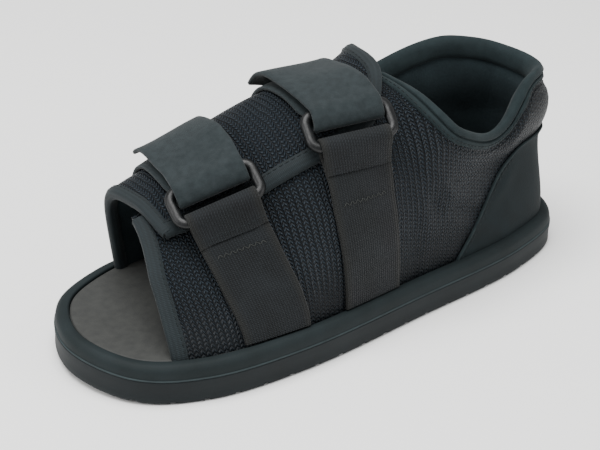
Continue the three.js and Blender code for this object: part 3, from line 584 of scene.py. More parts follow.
def edge_line(cloth, edge):
    """The part of a panel's rim that lies on one edge, as one smooth run: points, outward directions,
    directions into the panel, and steps through the panel's thickness."""
    away = distance_to(edge, cloth["out"])
    on = [(a, b) for a, b in cloth["rim"] if away[a] < 0.8 and away[b] < 0.8]
    run = max(chains(on), key=len)
    both = np.concatenate([soften(cloth["out"][run], 6), soften(cloth["normal"][run], 9),
                           soften(cloth["inn"][run], 6)], axis=1)
    both = resample(both, 1.6)
    line, normal = both[:, :3], unit(both[:, 3:6])
    along = unit(soften(np.gradient(line, axis=0), 4))
    inward = unit(np.cross(normal, along))
    through = both[:, 6:] - line
    return line, normal, inward, through


def lie_on(tree, start, outward, height):
    """A point moved onto a cloth's face and off it again by a height, on the side of outward."""
    place, face_normal = tree.find_nearest(Vector(start))[:2]
    face_normal = np.array(face_normal)
    if face_normal @ outward < 0:
        face_normal = -face_normal
    return np.array(place) + face_normal * height


def bind_edge(name, run, cloth, width, thickness, material, replaced, inner_width=None, seam_at=None):
    """Binding folded over an edge: one closed soft roll whose two legs lie on the panel's faces.
    Returns the piece and the line of its sewing."""
    line, normal, inward, through = run
    inner_width = inner_width or width
    outer_leg = [(width * 0.9, -0.4), (width, 0.1), (width - 0.5, thickness * 0.85),
                 (width - 1.4, thickness), (width * 0.55, thickness * 1.25), (width * 0.25, thickness * 1.35)]
    if seam_at:
        # A sewn-in seam parts the roll's leg into a narrow edge and a flat band.
        outer_leg[-2:] = [(seam_at + 1.6, thickness * 1.15), (seam_at + 0.7, thickness * 1.1),
                          (seam_at + 0.3, thickness * 0.35), (seam_at - 0.3, thickness * 0.35),
                          (seam_at - 0.7, thickness * 1.25), (seam_at - 1.4, thickness * 1.5)]
    inner_leg = [(inner_width * 0.25, thickness * 1.3), (inner_width * 0.6, thickness * 1.2),
                 (inner_width - 0.6, thickness), (inner_width, 0.1), (inner_width * 0.9, -0.4)]
    rows = []
    for start, inner, across, out in zip(line, line + through, inward, normal):
        half = np.linalg.norm(inner - start) / 2
        away = unit(start - inner)
        nose = []
        for angle in np.radians(np.linspace(72, -72, 9)):
            bulge = (thickness + 0.45 * half) * math.cos(angle)
            nose.append((start + inner) / 2 + away * (half + thickness) * math.sin(angle) - across * bulge)
        outside = [lie_on(cloth["trees"][0], start + across * into, out, height)
                   for into, height in outer_leg]
        inside = [lie_on(cloth["trees"][1], inner + across * into, -out, height)
                  for into, height in inner_leg]
        rows.append(outside + nose + inside)
    sections = np.array(rows)
    for k in range(sections.shape[1]):
        sections[:, k] = soften(sections[:, k], 4)
    piece = make(name, sections.reshape(-1, 3), loft(sections), [material], replaced,
                 uvs=cloth_places(run_along(line), run_along(sections[len(line) // 2])), sharp=70)
    return piece, (sections[:, 3] + normal * THREAD_LIFT, normal)


def piping(name, line, radius, material):
    """A round cord of piping along a seam."""
    along = unit(np.gradient(line, axis=0))
    side = unit(np.cross(along, np.array([0.0, 0.0, 1.0]) + 0 * along))
    over = np.cross(side, along)
    angle = np.linspace(0, 2 * np.pi, 10, endpoint=False)
    sections = (line[:, None] + radius * (np.cos(angle)[None, :, None] * side[:, None]
                                          + np.sin(angle)[None, :, None] * over[:, None]))
    make(name, sections.reshape(-1, 3), loft(sections), [material],
         uvs=cloth_places(run_along(line), angle * radius))


def stitches(name, thread_dashes, material):
    """Sewing thread as one piece, from dashes of (start, end, outward direction)."""
    verts, faces, sides = [], [], 6
    swells = ((0.0, 0.35), (0.2, 0.9), (0.5, 1.1), (0.8, 0.9), (1.0, 0.35))
    dash_faces = loft(np.zeros((len(swells), sides)))
    for start, end, outward in thread_dashes:
        along = unit(end - start)
        side = unit(np.cross(along, outward))
        base = len(verts)
        for share, swell in swells:
            middle = start + (end - start) * share + outward * (0.1 * math.sin(math.pi * share))
            for angle in np.linspace(0, 2 * math.pi, sides, endpoint=False):
                turned = math.cos(angle) * side + math.sin(angle) * outward
                verts.append(middle + THREAD_RADIUS * swell * turned)
        faces += [[base + i for i in face] for face in dash_faces]
    make(name, np.array(verts), faces, [material])


def dashes(line, normal, pitch=STITCH_PITCH, length=STITCH_LENGTH):
    """Stitches along a line, each a short dash."""
    both = resample(np.concatenate([line, normal], axis=1), pitch)
    runs = []
    for i in range(len(both) - 1):
        start, step = both[i, :3], both[i + 1, :3] - both[i, :3]
        runs.append((start, start + unit(step) * length, unit(both[i, 3:])))
    return runs


# Shapes of the fastening
def plan_half(x):
    """Half width of the upper's plan at x."""
    inner = PLAN + PLAN_INWARD * UPPER_INSET
    last = int(np.argmax(inner[:, 0]))
    return np.interp(x, inner[:last, 0], inner[:last, 1])


def section_line(x, far, layer):
    """The upper's face in the plane at x, from the base to the spine."""
    along = np.clip(along_at(x), SECTIONS["along"][0], SECTIONS["along"][-1])
    spine_y, spine_z = spine_at(along, layer)
    stand = layer["stand"](along_at(x))
    base = -plan_half(x) - layer["out"] if far else plan_half(x) + layer["out"] + stand
    square = curve_value(SECTIONS, "along", "far" if far else "near", along)
    out, up = rounded_corner(np.linspace(0, np.pi / 2, 73), square)
    return np.stack([np.full(len(out), x), spine_y + (base - spine_y) * out,
                     UPPER_BASE + up * (spine_z - UPPER_BASE)], axis=1)


def across_flap(x, out):
    """The flap's face in the plane at x, from the far side over the instep to the near side."""
    layer = flap_layer(out)
    line = np.concatenate([section_line(x, True, layer), section_line(x, False, layer)[::-1][1:]])
    return soften(line, 1)


def crossing(line, y):
    """Where a line across the shoe passes a place on Y."""
    return np.array([np.interp(y, line[:, 1], line[:, k]) for k in range(3)])


def ring_place(strap):
    """A ring's centre, and its directions along the shoe, down the side and outward."""
    half = STRAP_WIDTH / 2 / SHOE_LENGTH
    ends = []
    for move, key in ((half, "ring_front"), (-half, "ring_rear")):
        face = across_flap(float(x_at(strap["middle"] + move)), CLEARANCE)
        ends.append(crossing(face, strap[key] * BALL_WIDTH))
    front, rear = ends
    along = unit(front - rear)
    spread = (RING_GAP + RING_BAR) / 2
    y = (strap["ring_front"] + strap["ring_rear"]) / 2 * BALL_WIDTH
    middle = across_flap(float(x_at(strap["middle"])), CLEARANCE)
    outward = unit(np.cross(along, crossing(middle, y + spread) - crossing(middle, y - spread)))
    outward = outward if outward[2] > 0 else -outward
    across = unit(np.cross(outward, along))
    across = across if across[2] < 0 else -across
    return {"centre": (front + rear) / 2 + outward * RING_RISE, "along": along, "across": across,
            "outward": outward}


def turn_points(bar, outward, way, radius, below, above):
    """Points round a bar, from the tangent of a point below it to the tangent of one above it."""
    def tangent(point, sign):
        from_bar = point - bar
        a, b = from_bar @ way, from_bar @ outward
        angle = math.atan2(b, a)
        if sign > 0 and angle > 0:
            angle -= 2 * math.pi
        if sign < 0 and angle < 0:
            angle += 2 * math.pi
        return angle + sign * math.acos(min(1.0, radius / math.hypot(a, b)))
    angle = np.linspace(tangent(below, 1), tangent(above, -1), 18)[:, None]
    return bar + radius * (np.cos(angle) * way + np.sin(angle) * outward)


def portion(line, inside, count):
    """The part of a line where inside is positive, as evenly spaced points."""
    value = inside(line)
    kept = []
    for i in range(len(line)):
        if i and value[i] * value[i - 1] < 0:
            t = value[i - 1] / (value[i - 1] - value[i])
            kept.append(line[i - 1] + (line[i] - line[i - 1]) * t)
        if value[i] > 0:
            kept.append(line[i])
    return spread_evenly(np.array(kept), count)


def raised(line, amount):
    """A line across the shoe, moved outward by an amount at each point."""
    run = np.gradient(line, axis=0)
    outward = unit(np.stack([0 * run[:, 0], -run[:, 2], run[:, 1]], axis=1))
    return line + outward * amount[:, None]


def strap_path(strap, place, off):
    """A line of the closing strap: up the far side, round the ring's upper bar and back on top."""
    bar = place["centre"] + place["along"] * off - place["across"] * (RING_GAP + RING_BAR) / 2
    before = bar[1] - FOLD_RUN_OUT / 2
    face, shifted = across_flap(bar[0], 0.0), across_flap(bar[0] + strap["far_shift"] * SHOE_LENGTH, 0.0)
    blend = smooth((bar[1] - face[:, 1]) / (BALL_WIDTH / 2))[:, None]
    face = face + (shifted - face) * blend
    room = 1.3 * smooth((face[:, 1] - bar[1] + 2 * FOLD_RUN_OUT) / FOLD_RUN_OUT)
    lower = portion(raised(face, STRAP_THICKNESS / 2 + LOOP_ROOM + room),
                    lambda p: np.minimum(before - p[:, 1], p[:, 2] - STRAP_BASE), 60)
    nearness = np.clip((face[:, 1] - bar[1] + 1.9 * FOLD_RUN_OUT) / (1.5 * FOLD_RUN_OUT), 0, 1)
    top = raised(face, 1.5 * STRAP_THICKNESS + LOOP_ROOM + CLEARANCE + room + FOLD_ARCH * nearness ** 1.5)
    end_y = strap["end_side"] * BALL_WIDTH
    upper = portion(top, lambda p: np.minimum(before - p[:, 1], p[:, 1] - end_y), 34)[::-1].copy()
    upper[:, 2] += STRAP_END_LIFT * (off / STRAP_WIDTH + 0.5) * smooth(np.linspace(0, 1, len(upper)))
    # The strap hangs loosely over the bar: a full, soft fold that reaches most of the ring's opening.
    angle = np.radians(np.linspace(-96, 97, 26))[:, None]
    turn = (bar + place["across"] * FOLD_REACH * np.cos(angle)
            + place["outward"] * (FOLD_DEPTH * np.sin(angle) + CLEARANCE))
    return np.concatenate([lower, turn, upper])


def webbing_path(strap, place, off):
    """A line of the ring's webbing: up the near side, round the ring's lower bar and down to its tail."""
    bar = place["centre"] + place["along"] * off + place["across"] * (RING_GAP + RING_BAR) / 2
    radius = RING_BAR / 2 + LOOP_ROOM + WEBBING_THICKNESS / 2
    under = bar - place["outward"] * radius
    quarter = quarter_layer(0.0, 0.0)
    at_base = section_line(float(x_at(strap["base"])) + off, False, quarter)
    face = section_line(bar[0], False, quarter)
    face = at_base + (face - at_base) * smooth((face[:, 2] - FOOTBED) / (bar[2] - FOOTBED))[:, None]
    rise = LOOP_ROOM + WEBBING_THICKNESS / 2 + (BINDING_ROOM + WALL) * smooth(
        (face[:, 2] - under[2] + 1.5 * FOLD_RUN_OUT) / FOLD_RUN_OUT)
    top_z = under[2] - FOLD_RUN_OUT / 2
    lower = portion(raised(face, -rise), lambda p: np.minimum(top_z - p[:, 2], p[:, 2] - STRAP_BASE), 48)
    back = portion(np.concatenate([lower, under[None]])[::-1], lambda p: np.ones(len(p)), 80)
    reach = back[np.linalg.norm(back - under, axis=1) < WEBBING_TAIL]
    tail = []
    for t in np.linspace(0.55, 1, 8):
        drop = 2 * radius + (0.75 * WEBBING_THICKNESS - 2 * radius) * smooth(t)
        tail.append(reach[int(round(t * (len(reach) - 1)))] + place["outward"] * drop)
    turn = turn_points(bar, place["outward"], -place["across"], radius, lower[-1], tail[0])
    return np.concatenate([lower, turn, np.array(tail)])


def ribbon(name, make_path, thickness, count, material, replaced, taper=0):
    """A flat strap with rounded edges. Returns its middle face and the face's outward directions."""
    offs = np.linspace(-0.5, 0.5, STRAP_COLUMNS) * (STRAP_WIDTH - 2 * STRAP_EDGE)
    paths = np.stack([soften(spread_evenly(make_path(off), count), 2) for off in offs], axis=1)
    run = np.gradient(paths, axis=0)
    side = np.gradient(paths, axis=1)
    normal = unit(np.cross(run, side))
    if taper:
        thinning = np.ones(count)
        thinning[-taper:] = 1 - 0.6 * smooth(np.linspace(0, 1, taper))
        thickness = thickness * thinning[:, None, None]
    top, low = paths + normal * thickness / 2, paths - normal * thickness / 2
    lips = []
    for column, sign in ((0, -1), (-1, 1)):
        lip = paths[:, [column]] + sign * unit(side[:, [column]]) * STRAP_EDGE
        lips.append([lip + normal[:, [column]] * thickness * share for share in (0.28, -0.28)])
    rear, front = lips
    sections = np.concatenate([top, *front, low[:, ::-1], rear[1], rear[0]], axis=1)
    width = np.concatenate([offs, [STRAP_WIDTH / 2] * 2, offs[::-1], [-STRAP_WIDTH / 2] * 2])
    make(name, sections.reshape(-1, 3), loft(sections), [material], [replaced],
         uvs=cloth_places(run_along(paths[:, MIDDLE_COLUMN]), width), sharp=80)
    return paths, normal


def ring(name, place, material, replaced):
    """A rounded rectangular loop of round bar, a little flattened."""
    long_half = STRAP_WIDTH / 2 + RING_SIDE_ROOM / 2 + RING_FLAT / 2
    short_half = (RING_GAP + RING_BAR) / 2
    loop = []
    for cx, cy, start in ((1, 1, 0), (-1, 1, 90), (-1, -1, 180), (1, -1, 270)):
        for step in range(9):
            angle = math.radians(start + 90 * step / 8)
            loop.append((cx * (long_half - RING_CORNER) + RING_CORNER * math.cos(angle),
                         cy * (short_half - RING_CORNER) + RING_CORNER * math.sin(angle)))
    loop = spread_evenly(np.array(loop + loop[:1]), 181)[:-1]
    flow = unit(np.roll(loop, -1, axis=0) - np.roll(loop, 1, axis=0))
    out = np.stack([flow[:, 1], -flow[:, 0]], axis=1)
    sides = 16
    angle = np.linspace(0, 2 * np.pi, sides, endpoint=False)
    squared = (np.abs(np.cos(angle)) ** 2.2 + np.abs(np.sin(angle)) ** 2.2) ** (-1 / 2.2)
    flat, high = RING_FLAT / 2 * squared * np.cos(angle), RING_BAR / 2 * squared * np.sin(angle)
    plane = loop[:, None] + out[:, None] * flat[None, :, None]
    points = (place["centre"] + plane[..., :1] * place["along"] + plane[..., 1:2] * place["across"]
              + high[None, :, None] * place["outward"])
    index = np.arange(len(loop) * sides).reshape(len(loop), sides)
    faces = [[index[i, j], index[i, (j + 1) % sides], index[(i + 1) % len(loop), (j + 1) % sides],
              index[(i + 1) % len(loop), j]] for i in range(len(loop)) for j in range(sides)]
    make(name, points.reshape(-1, 3), faces, [material], [replaced])


# Shapes of the sole
def sole_ring(inset, z, stations):
    """The sole's plan at a height, drawn in by an inset."""
    x, y, *_ = plan_at(stations, inset)
    return np.stack([x, y, z + toe_lift(x)], axis=-1)


def stacked(name, profile, materials, replaced, second_below=0.0):
    """Rings of the sole's plan stacked up a profile of (inset, height) and closed at both ends.
    Faces that lie wholly below second_below take the second material."""
    levels = rounded_levels(profile)
    stations = np.linspace(0, 2 * STATIONS, PLAN_POINTS, endpoint=False)
    rings = np.stack([sole_ring(inset, z, stations) for inset, z in levels])
    slots = [int(high <= second_below) for _, high in levels[1:] for _ in range(PLAN_POINTS)] + [0, 0]
    return make(name, rings.reshape(-1, 3), loft(rings), materials, [replaced],
                face_slots=slots, sharp=40.0)


def rounded_levels(profile):
    """A profile with each middle corner turned into a short curve."""
    out = [profile[0]]
    for a, b, c in zip(profile, profile[1:], profile[2:]):
        a, b, c = (np.array(p, float) for p in (a, b, c))
        cut = min(0.45 * np.linalg.norm(b - a), 0.45 * np.linalg.norm(c - b))
        start, end = b + unit(a - b) * cut, b + unit(c - b) * cut
        for t in np.linspace(0, 1, 4):
            out.append(tuple((1 - t) ** 2 * start + 2 * t * (1 - t) * b + t * t * end))
    return [*out, profile[-1]]


def grooved_outsole(material):
    """The tread slab, cut across its underside by even grooves that notch its edge."""
    piece = stacked("outsole_tread", OUTSOLE_PROFILE, [material], "outsole")
    mesh = bmesh.new()
    mesh.from_mesh(piece.data)
    half, wall = TREAD_GROOVE / 2 * MM, TREAD_WALL * MM
    count = int((SHOE_LENGTH - 2 * TREAD_PITCH) // TREAD_PITCH)
    grooves = [(i - count / 2) * TREAD_PITCH * MM for i in range(count + 1)]
    planes = [x + move for x in grooves for move in (-half, -half + wall, half - wall, half)]
    # Cuts under the toe let its underside bend up smoothly.
    planes += list(np.arange(SHOE_LENGTH / 2 - TOE_SPRING_LENGTH + 1, SHOE_LENGTH / 2 - 1, 3) * MM)
    for x in planes:
        mesh_parts = list(mesh.verts) + list(mesh.edges) + list(mesh.faces)
        bmesh.ops.bisect_plane(mesh, geom=mesh_parts, dist=1e-7, plane_co=(x, 0, 0), plane_no=(1, 0, 0))
    for vertex in mesh.verts:
        lift = float(toe_lift(vertex.co.x / MM)) * MM
        if any(abs(vertex.co.x - x) < half - 0.5 * wall for x in grooves):
            vertex.co.z = max(vertex.co.z, TREAD_DEPTH * MM + lift)
    mesh.to_mesh(piece.data)
    mesh.free()
    piece.data.polygons.foreach_set("use_smooth", [True] * len(piece.data.polygons))
    piece.data.set_sharp_from_angle(angle=math.radians(35))


# Materials
KNIT_COLUMN = 3.0
KNIT_ROW = 2.1
WORN_EDGE = 5.0


def colour(code):
    """sRGB hex turned linear."""
    parts = [int(code[k:k + 2], 16) / 255 for k in (0, 2, 4)]
    return tuple(c / 12.92 if c <= 0.04045 else ((c + 0.055) / 1.055) ** 2.4 for c in parts) + (1.0,)


def connect(tree, node, links):
    """Links into a node's inputs. A node named as a source gives its first output."""
    for key, source in links.items():
        socket = source.outputs[0] if isinstance(source, bpy.types.Node) else source
        tree.links.new(socket, node.inputs[key])


def add(tree, kind, settings=None, links=None):
    """One shader node with its settings and links. A whole number names an input by its place."""
    node = tree.nodes.new("ShaderNode" + kind)
    for key, value in (settings or {}).items():
        if isinstance(key, int) or key in node.inputs:
            node.inputs[key].default_value = value
        else:
            setattr(node, key, value)
    connect(tree, node, links or {})
    return node


def surface(name, shader_settings):
    """A new material with its shader's own values."""
    material = bpy.data.materials.new(name)
    material.use_nodes = True
    tree = material.node_tree
    shader = tree.nodes["Principled BSDF"]
    for key, value in shader_settings.items():
        shader.inputs[key].default_value = value
    return material, tree, shader


def two_tone(tree, factor, dark, light):
    """Colours between two hex codes by a factor."""
    ramp = add(tree, "ValToRGB", links={"Fac": factor})
    ramp.color_ramp.elements[0].color = colour(dark)
    ramp.color_ramp.elements[1].color = colour(light)
    return ramp


def spacer_mesh():
    """Knitted polyester mesh: columns of raised V-shaped loops, coloured paler on the loops as painted
    highlight and darker in the gaps between them as painted shade.
    """
    material, tree, shader = surface("knitted polyester mesh", {
        "Roughness": 0.48, "IOR": 1.5, "Specular IOR Level": 0.17})
    cloth = add(tree, "UVMap", {"uv_map": "cloth"})
    drift = add(tree, "TexNoise", {"Scale": 110.0, "Detail": 1.0}, {"Vector": cloth})
    wander = add(tree, "VectorMath", {"operation": "SCALE", "Scale": 1.4 * MM}, {0: drift.outputs["Color"]})
    moved = add(tree, "VectorMath", {"operation": "ADD"}, {0: cloth, 1: wander})
    loops_a_metre = (1 / (KNIT_COLUMN * MM), 1 / (KNIT_ROW * MM), 1)
    cells = add(tree, "VectorMath", {"operation": "MULTIPLY", 1: loops_a_metre}, {0: moved})
    cell = add(tree, "SeparateXYZ", links={"Vector": cells})
    # Each column is a stack of Vs, and every second column is set half a loop higher.
    in_column = add(tree, "Math", {"operation": "FRACT"}, {0: cell.outputs["X"]})
    from_middle = add(tree, "Math", {"operation": "SUBTRACT", 1: 0.5}, {0: in_column})
    off_middle = add(tree, "Math", {"operation": "ABSOLUTE"}, {0: from_middle})
    column = add(tree, "Math", {"operation": "FLOOR"}, {0: cell.outputs["X"]})
    stepped = add(tree, "Math", {"operation": "MULTIPLY_ADD", 1: 0.5}, {0: column, 2: cell.outputs["Y"]})
    slanted = add(tree, "Math", {"operation": "MULTIPLY_ADD", 1: 1.2}, {0: off_middle, 2: stepped})
    in_row = add(tree, "Math", {"operation": "FRACT"}, {0: slanted})
    half_turn = add(tree, "Math", {"operation": "MULTIPLY", 1: math.pi}, {0: in_row})
    ridge = add(tree, "Math", {"operation": "SINE"}, {0: half_turn})
    narrow_ridge = add(tree, "Math", {"operation": "POWER", 1: 1.6}, {0: ridge})
    edge_room = add(tree, "MapRange", {
        "interpolation_type": "SMOOTHSTEP", "From Min": 0.5, "From Max": 0.3}, {"Value": off_middle})
    core = add(tree, "MapRange", {
        "interpolation_type": "SMOOTHSTEP", "From Min": 0.0, "From Max": 0.14, "To Min": 0.45, "To Max": 1.0},
        {"Value": off_middle})
    leg = add(tree, "Math", {"operation": "MULTIPLY"}, {0: edge_room, 1: core})
    loop = add(tree, "Math", {"operation": "MULTIPLY"}, {0: narrow_ridge, 1: leg})
    # The mesh lies flatter and closer toward the sole and round the heel, which also makes its colour darker
    # there.
    lie = add(tree, "SeparateXYZ", links={"Vector": cloth})
    round_heel = add(tree, "Math", {"operation": "ABSOLUTE"}, {0: lie.outputs["X"]})
    low = add(tree, "MapRange", {
        "interpolation_type": "SMOOTHSTEP", "From Min": 6 * MM, "From Max": 36 * MM,
        "To Min": 0.3, "To Max": 1.0}, {"Value": lie.outputs["Y"]})
    heel = add(tree, "MapRange", {
        "interpolation_type": "SMOOTHSTEP", "From Min": 45 * MM, "From Max": 125 * MM,
        "To Min": 0.55, "To Max": 1.0}, {"Value": round_heel})
    relief = add(tree, "Math", {"operation": "MULTIPLY"}, {0: low, 1: heel})
    form = add(tree, "Math", {"operation": "MULTIPLY"}, {0: loop, 1: relief})
    yarn = add(tree, "TexNoise", {"Scale": 2600.0, "Detail": 2.0}, {"Vector": cloth})
    height = add(tree, "Math", {"operation": "MULTIPLY_ADD", 1: 0.12}, {0: yarn, 2: form})
    bump = add(tree, "Bump", {"Strength": 1.0, "Distance": 1.2 * MM}, {"Height": height})
    cloud = add(tree, "TexNoise", {"Scale": 22.0, "Detail": 2.0}, {"Vector": cloth})
    shade = add(tree, "Math", {"operation": "MULTIPLY_ADD", 1: 0.35, 2: -0.12}, {0: cloud})
    depth = add(tree, "Math", {"operation": "ADD", "use_clamp": True}, {0: form, 1: shade})
    # The colour follows the loops' height: painted highlight on the raised loops and painted shade in the
    # gaps, with random clouds.
    ramp = two_tone(tree, depth, "010203", "252d34")
    connect(tree, shader, {"Base Color": ramp, "Normal": bump})
    return material


def napped(name, dark, light, grain, cloudiness, roughness, sheen, depth):
    """A fine napped or grained finish in two tones. Grain, cloudiness and depth are in millimetres."""
    material, tree, shader = surface(name, {
        "Roughness": roughness, "IOR": 1.48, "Specular IOR Level": 0.2, "Sheen Weight": sheen,
        "Sheen Roughness": 0.45})
    at = add(tree, "TexCoord").outputs["Object"]
    fine = add(tree, "TexNoise", {"Scale": 1000 / grain, "Detail": 3.0, "Roughness": 0.65}, {"Vector": at})
    broad = add(tree, "TexNoise", {"Scale": 1000 / cloudiness, "Detail": 3.0}, {"Vector": at})
    tone = add(tree, "Math", {"operation": "MULTIPLY_ADD", 1: 0.45}, {0: fine, 2: broad})
    spread = add(tree, "MapRange", {"From Min": 0.45, "From Max": 1.0}, {"Value": tone})
    ramp = two_tone(tree, spread, dark, light)
    bump = add(tree, "Bump", {"Strength": 0.6, "Distance": depth * MM}, {"Height": fine})
    connect(tree, shader, {"Base Color": ramp, "Normal": bump})
    return material


def woven(name, dark, light, yarns, roughness, sheen, depth, edge_light=None):
    """A woven tape drawn on its own length and width: two sets of yarns, each (turn, pitch in mm)."""
    material, tree, shader = surface(name, {
        "Roughness": roughness, "IOR": 1.5, "Specular IOR Level": 0.2, "Sheen Weight": sheen,
        "Sheen Roughness": 0.5})
    cloth = add(tree, "UVMap", {"uv_map": "cloth"})
    waves = []
    for turn, pitch in yarns:
        turned = add(tree, "Mapping", {"Rotation": (0, 0, math.radians(turn))}, {"Vector": cloth})
        wave = add(tree, "TexWave", {
            "bands_direction": "X", "Scale": math.pi * 100 / pitch, "Distortion": 1.2, "Detail": 1.0,
            "Detail Scale": 0.6}, {"Vector": turned})
        waves.append(wave.outputs["Fac"])
    over = add(tree, "Math", {"operation": "MULTIPLY"}, {0: waves[0], 1: waves[1]})
    rib = add(tree, "Math", {"operation": "MULTIPLY_ADD", 1: 0.4}, {0: waves[0], 2: over})
    fibre = add(tree, "TexNoise", {"Scale": 3000.0, "Detail": 2.0}, {"Vector": cloth})
    height = add(tree, "Math", {"operation": "MULTIPLY_ADD", 1: 0.4}, {0: fibre, 2: rib})
    bump = add(tree, "Bump", {"Strength": 0.9, "Distance": depth * MM}, {"Height": height})
    cloud = add(tree, "TexNoise", {"Scale": 60.0, "Detail": 3.0}, {"Vector": cloth})
    tone = add(tree, "Math", {"operation": "MULTIPLY_ADD", 1: 0.7}, {0: rib, 2: cloud})
    spread = add(tree, "MapRange", {"From Min": 0.35, "From Max": 1.3}, {"Value": tone})
    result = two_tone(tree, spread, dark, light).outputs["Color"]
    if edge_light:
        across = add(tree, "SeparateXYZ", links={"Vector": cloth})
        away = add(tree, "Math", {"operation": "ABSOLUTE"}, {0: across.outputs["Y"]})
        at_edge = add(tree, "MapRange", {
            "interpolation_type": "SMOOTHSTEP", "From Min": (STRAP_WIDTH / 2 - WORN_EDGE) * MM,
            "From Max": STRAP_WIDTH / 2 * MM, "To Min": 0.0, "To Max": 0.6}, {"Value": away})
        worn = add(tree, "Mix", {"data_type": "RGBA", 7: colour(edge_light)}, {0: at_edge, 6: result})
        result = worn.outputs[2]
    connect(tree, shader, {"Base Color": result, "Normal": bump})
    return material


def gloss_plastic():
    """Moulded nylon: near black, with a soft gloss broken by faint scuffs."""
    material, tree, shader = surface("moulded nylon", {
        "Roughness": 0.4, "IOR": 1.5, "Specular IOR Level": 0.3})
    at = add(tree, "TexCoord").outputs["Object"]
    scuff = add(tree, "TexNoise", {"Scale": 700.0, "Detail": 4.0}, {"Vector": at})
    rough = add(tree, "MapRange", {"From Min": 0.4, "From Max": 0.75, "To Min": 0.34, "To Max": 0.5},
                {"Value": scuff})
    ramp = two_tone(tree, scuff, "070809", "111314")
    connect(tree, shader, {"Base Color": ramp, "Roughness": rough})
    return material


# The nap and grain of the cloths are drawn at 0.5 to 1.3 mm, coarser than the real fibres, so that they show.

# Upper: an open knit with painted highlight on its loops and painted shade in its gaps, and inside it a dull
# brushed lining
mesh_knit = spacer_mesh()
lining = napped("brushed tricot lining", "182124", "263134", 1.3, 14, 0.9, 0.05, 0.3)

# Closing straps: short loop pile, the palest cloth, soft and matt
loop_pile = napped("brushed loop pile", "181f21", "252c2e", 0.5, 3.2, 0.84, 0.09, 0.24)

# Heel counter: microfibre suede, a deep matt green black
suede = napped("microfibre suede", "060f11", "0e191c", 0.9, 12, 0.88, 0.04, 0.22)

# Collar roll and piping: a brushed knit with a faint bloom on its curve. On the piping, its tone paler than
# the suede is a painted highlight along the seam.
collar_knit = napped("brushed collar knit", "151e20", "202a2c", 0.8, 6, 0.88, 0.05, 0.2)

# Bindings: grosgrain with cross ribs drawn at 2.2 mm, coarser than the usual 1 mm so that they show
tape = woven("grosgrain binding tape", "101618", "1c2427", ((0, 0.8), (90, 2.2)), 0.75, 0.06, 0.06)

# Ring webbing: twill with slanting ribs, darker than the straps and worn paler at its edges. Its yarns are
# drawn at 1.0 and 1.35 mm, coarser than the usual 0.7 mm.
twill = woven("twill webbing", "050708", "191d20", ((90, 1.35), (38, 1.0)), 0.75, 0.04, 0.3,
              edge_light="1c1c19")

# Sole: matt black rubber below, foam with a finer skin above, and a paler band on the foam's lower lip, a
# painted highlight along its seam with the rubber
rubber = napped("moulded rubber", "0e1315", "161c1e", 0.9, 25, 0.62, 0.0, 0.08)
foam = napped("moulded foam", "111819", "192123", 0.7, 18, 0.7, 0.0, 0.1)
# Painted highlight: a paler foam tone for the lower lip along the seam.
lip_painted_highlight = napped("foam lip painted highlight", "232a2c", "303a3c", 0.6, 9, 0.7, 0.0, 0.1)

# Footbed: a smooth warm grey cloth that shines a little
sock = napped("sock lining cloth", "2c2d2c", "363735", 0.8, 4, 0.6, 0.08, 0.08)

# Rings and sewing: glossy nylon, dark thread that sinks into the cloth, and paler tacks
nylon = gloss_plastic()
thread = napped("polyester thread", "0f1415", "1a2022", 0.3, 5, 0.6, 0.05, 0.05)
pale_thread = napped("pale polyester thread", "232524", "333533", 0.3, 5, 0.6, 0.05, 0.05)


# Shapes of the upper
def quarter_surface(out, swell):
    """A face of the quarter over (station, share), its far end tucked under the flap it is sewn to."""
    layer = quarter_layer(out, swell)

    def at(u, v):
        p = dome(u, v, layer)
        tuck = 1.4 * smooth((p[..., 0] - x_at(0.315)) / 8) * (p[..., 1] < QUARTER_TOP_SIDE * BALL_WIDTH)
        return p - tuck[..., None] * dome_normal(u, v, layer)
    return at


def flap_surface(out):
    """A face of the flap over (station, side), from -1 at the far edge to 1 at the near edge."""
    layer = flap_layer(out)

    def at(u, v):
        total = 0
        for move, weight in ((-0.045, 0.25), (0.0, 0.5), (0.045, 0.25)):
            w = np.clip(v + move * (1 - np.abs(v)), -1, 1)
            total = total + weight * dome(np.where(w < 0, -u, u), 1 - np.abs(w), layer)
        return total
    return at


def surface_normal(at, step_u, step_v, limits):
    """Directions square to a surface, from its slopes."""
    low, high = limits

    def normal(u, v):
        v = np.clip(v, low + step_v, high - step_v)
        return unit(np.cross(at(u, v + step_v) - at(u, v - step_v), at(u + step_u, v) - at(u - step_u, v)))
    return normal


def outward_checked(normal, at, u, v):
    """The directions again, turned away from the shoe's inside."""
    probe = normal(np.array([u]), np.array([v]))[0]
    away = at(np.array([u]), np.array([v]))[0] - np.array((0, 0, 30))
    sign = 1.0 if probe @ away > 0 else -1.0
    return lambda a, b: sign * normal(a, b)


def column_height(at, us, vs):
    """How far up the cloth each row of a column lies, for the weave."""
    u, v = np.meshgrid(us, vs, indexing="ij")
    p = at(u, v)
    step = np.linalg.norm(np.diff(p, axis=1), axis=2)
    return np.concatenate([np.zeros((len(us), 1)), np.cumsum(step, axis=1)], axis=1)


def perimeter(station):
    """Distance round the sole's plan from the heel, minus on the far side."""
    run = np.interp(np.abs(station), PLAN_KEY, PLAN_RUN)
    return np.where(station < 0, -run, run)


def grid_lookup(us, vs, table):
    """A value between the points of a grid."""
    def value(u, v):
        i = np.clip(np.searchsorted(us, u) - 1, 0, len(us) - 2)
        j = np.clip(np.searchsorted(vs, v) - 1, 0, len(vs) - 2)
        s = (u - us[i]) / (us[i + 1] - us[i])
        t = (v - vs[j]) / (vs[j + 1] - vs[j])
        return ((1 - s) * (1 - t) * table[i, j] + s * (1 - t) * table[i + 1, j]
                + (1 - s) * t * table[i, j + 1] + s * t * table[i + 1, j + 1])
    return value


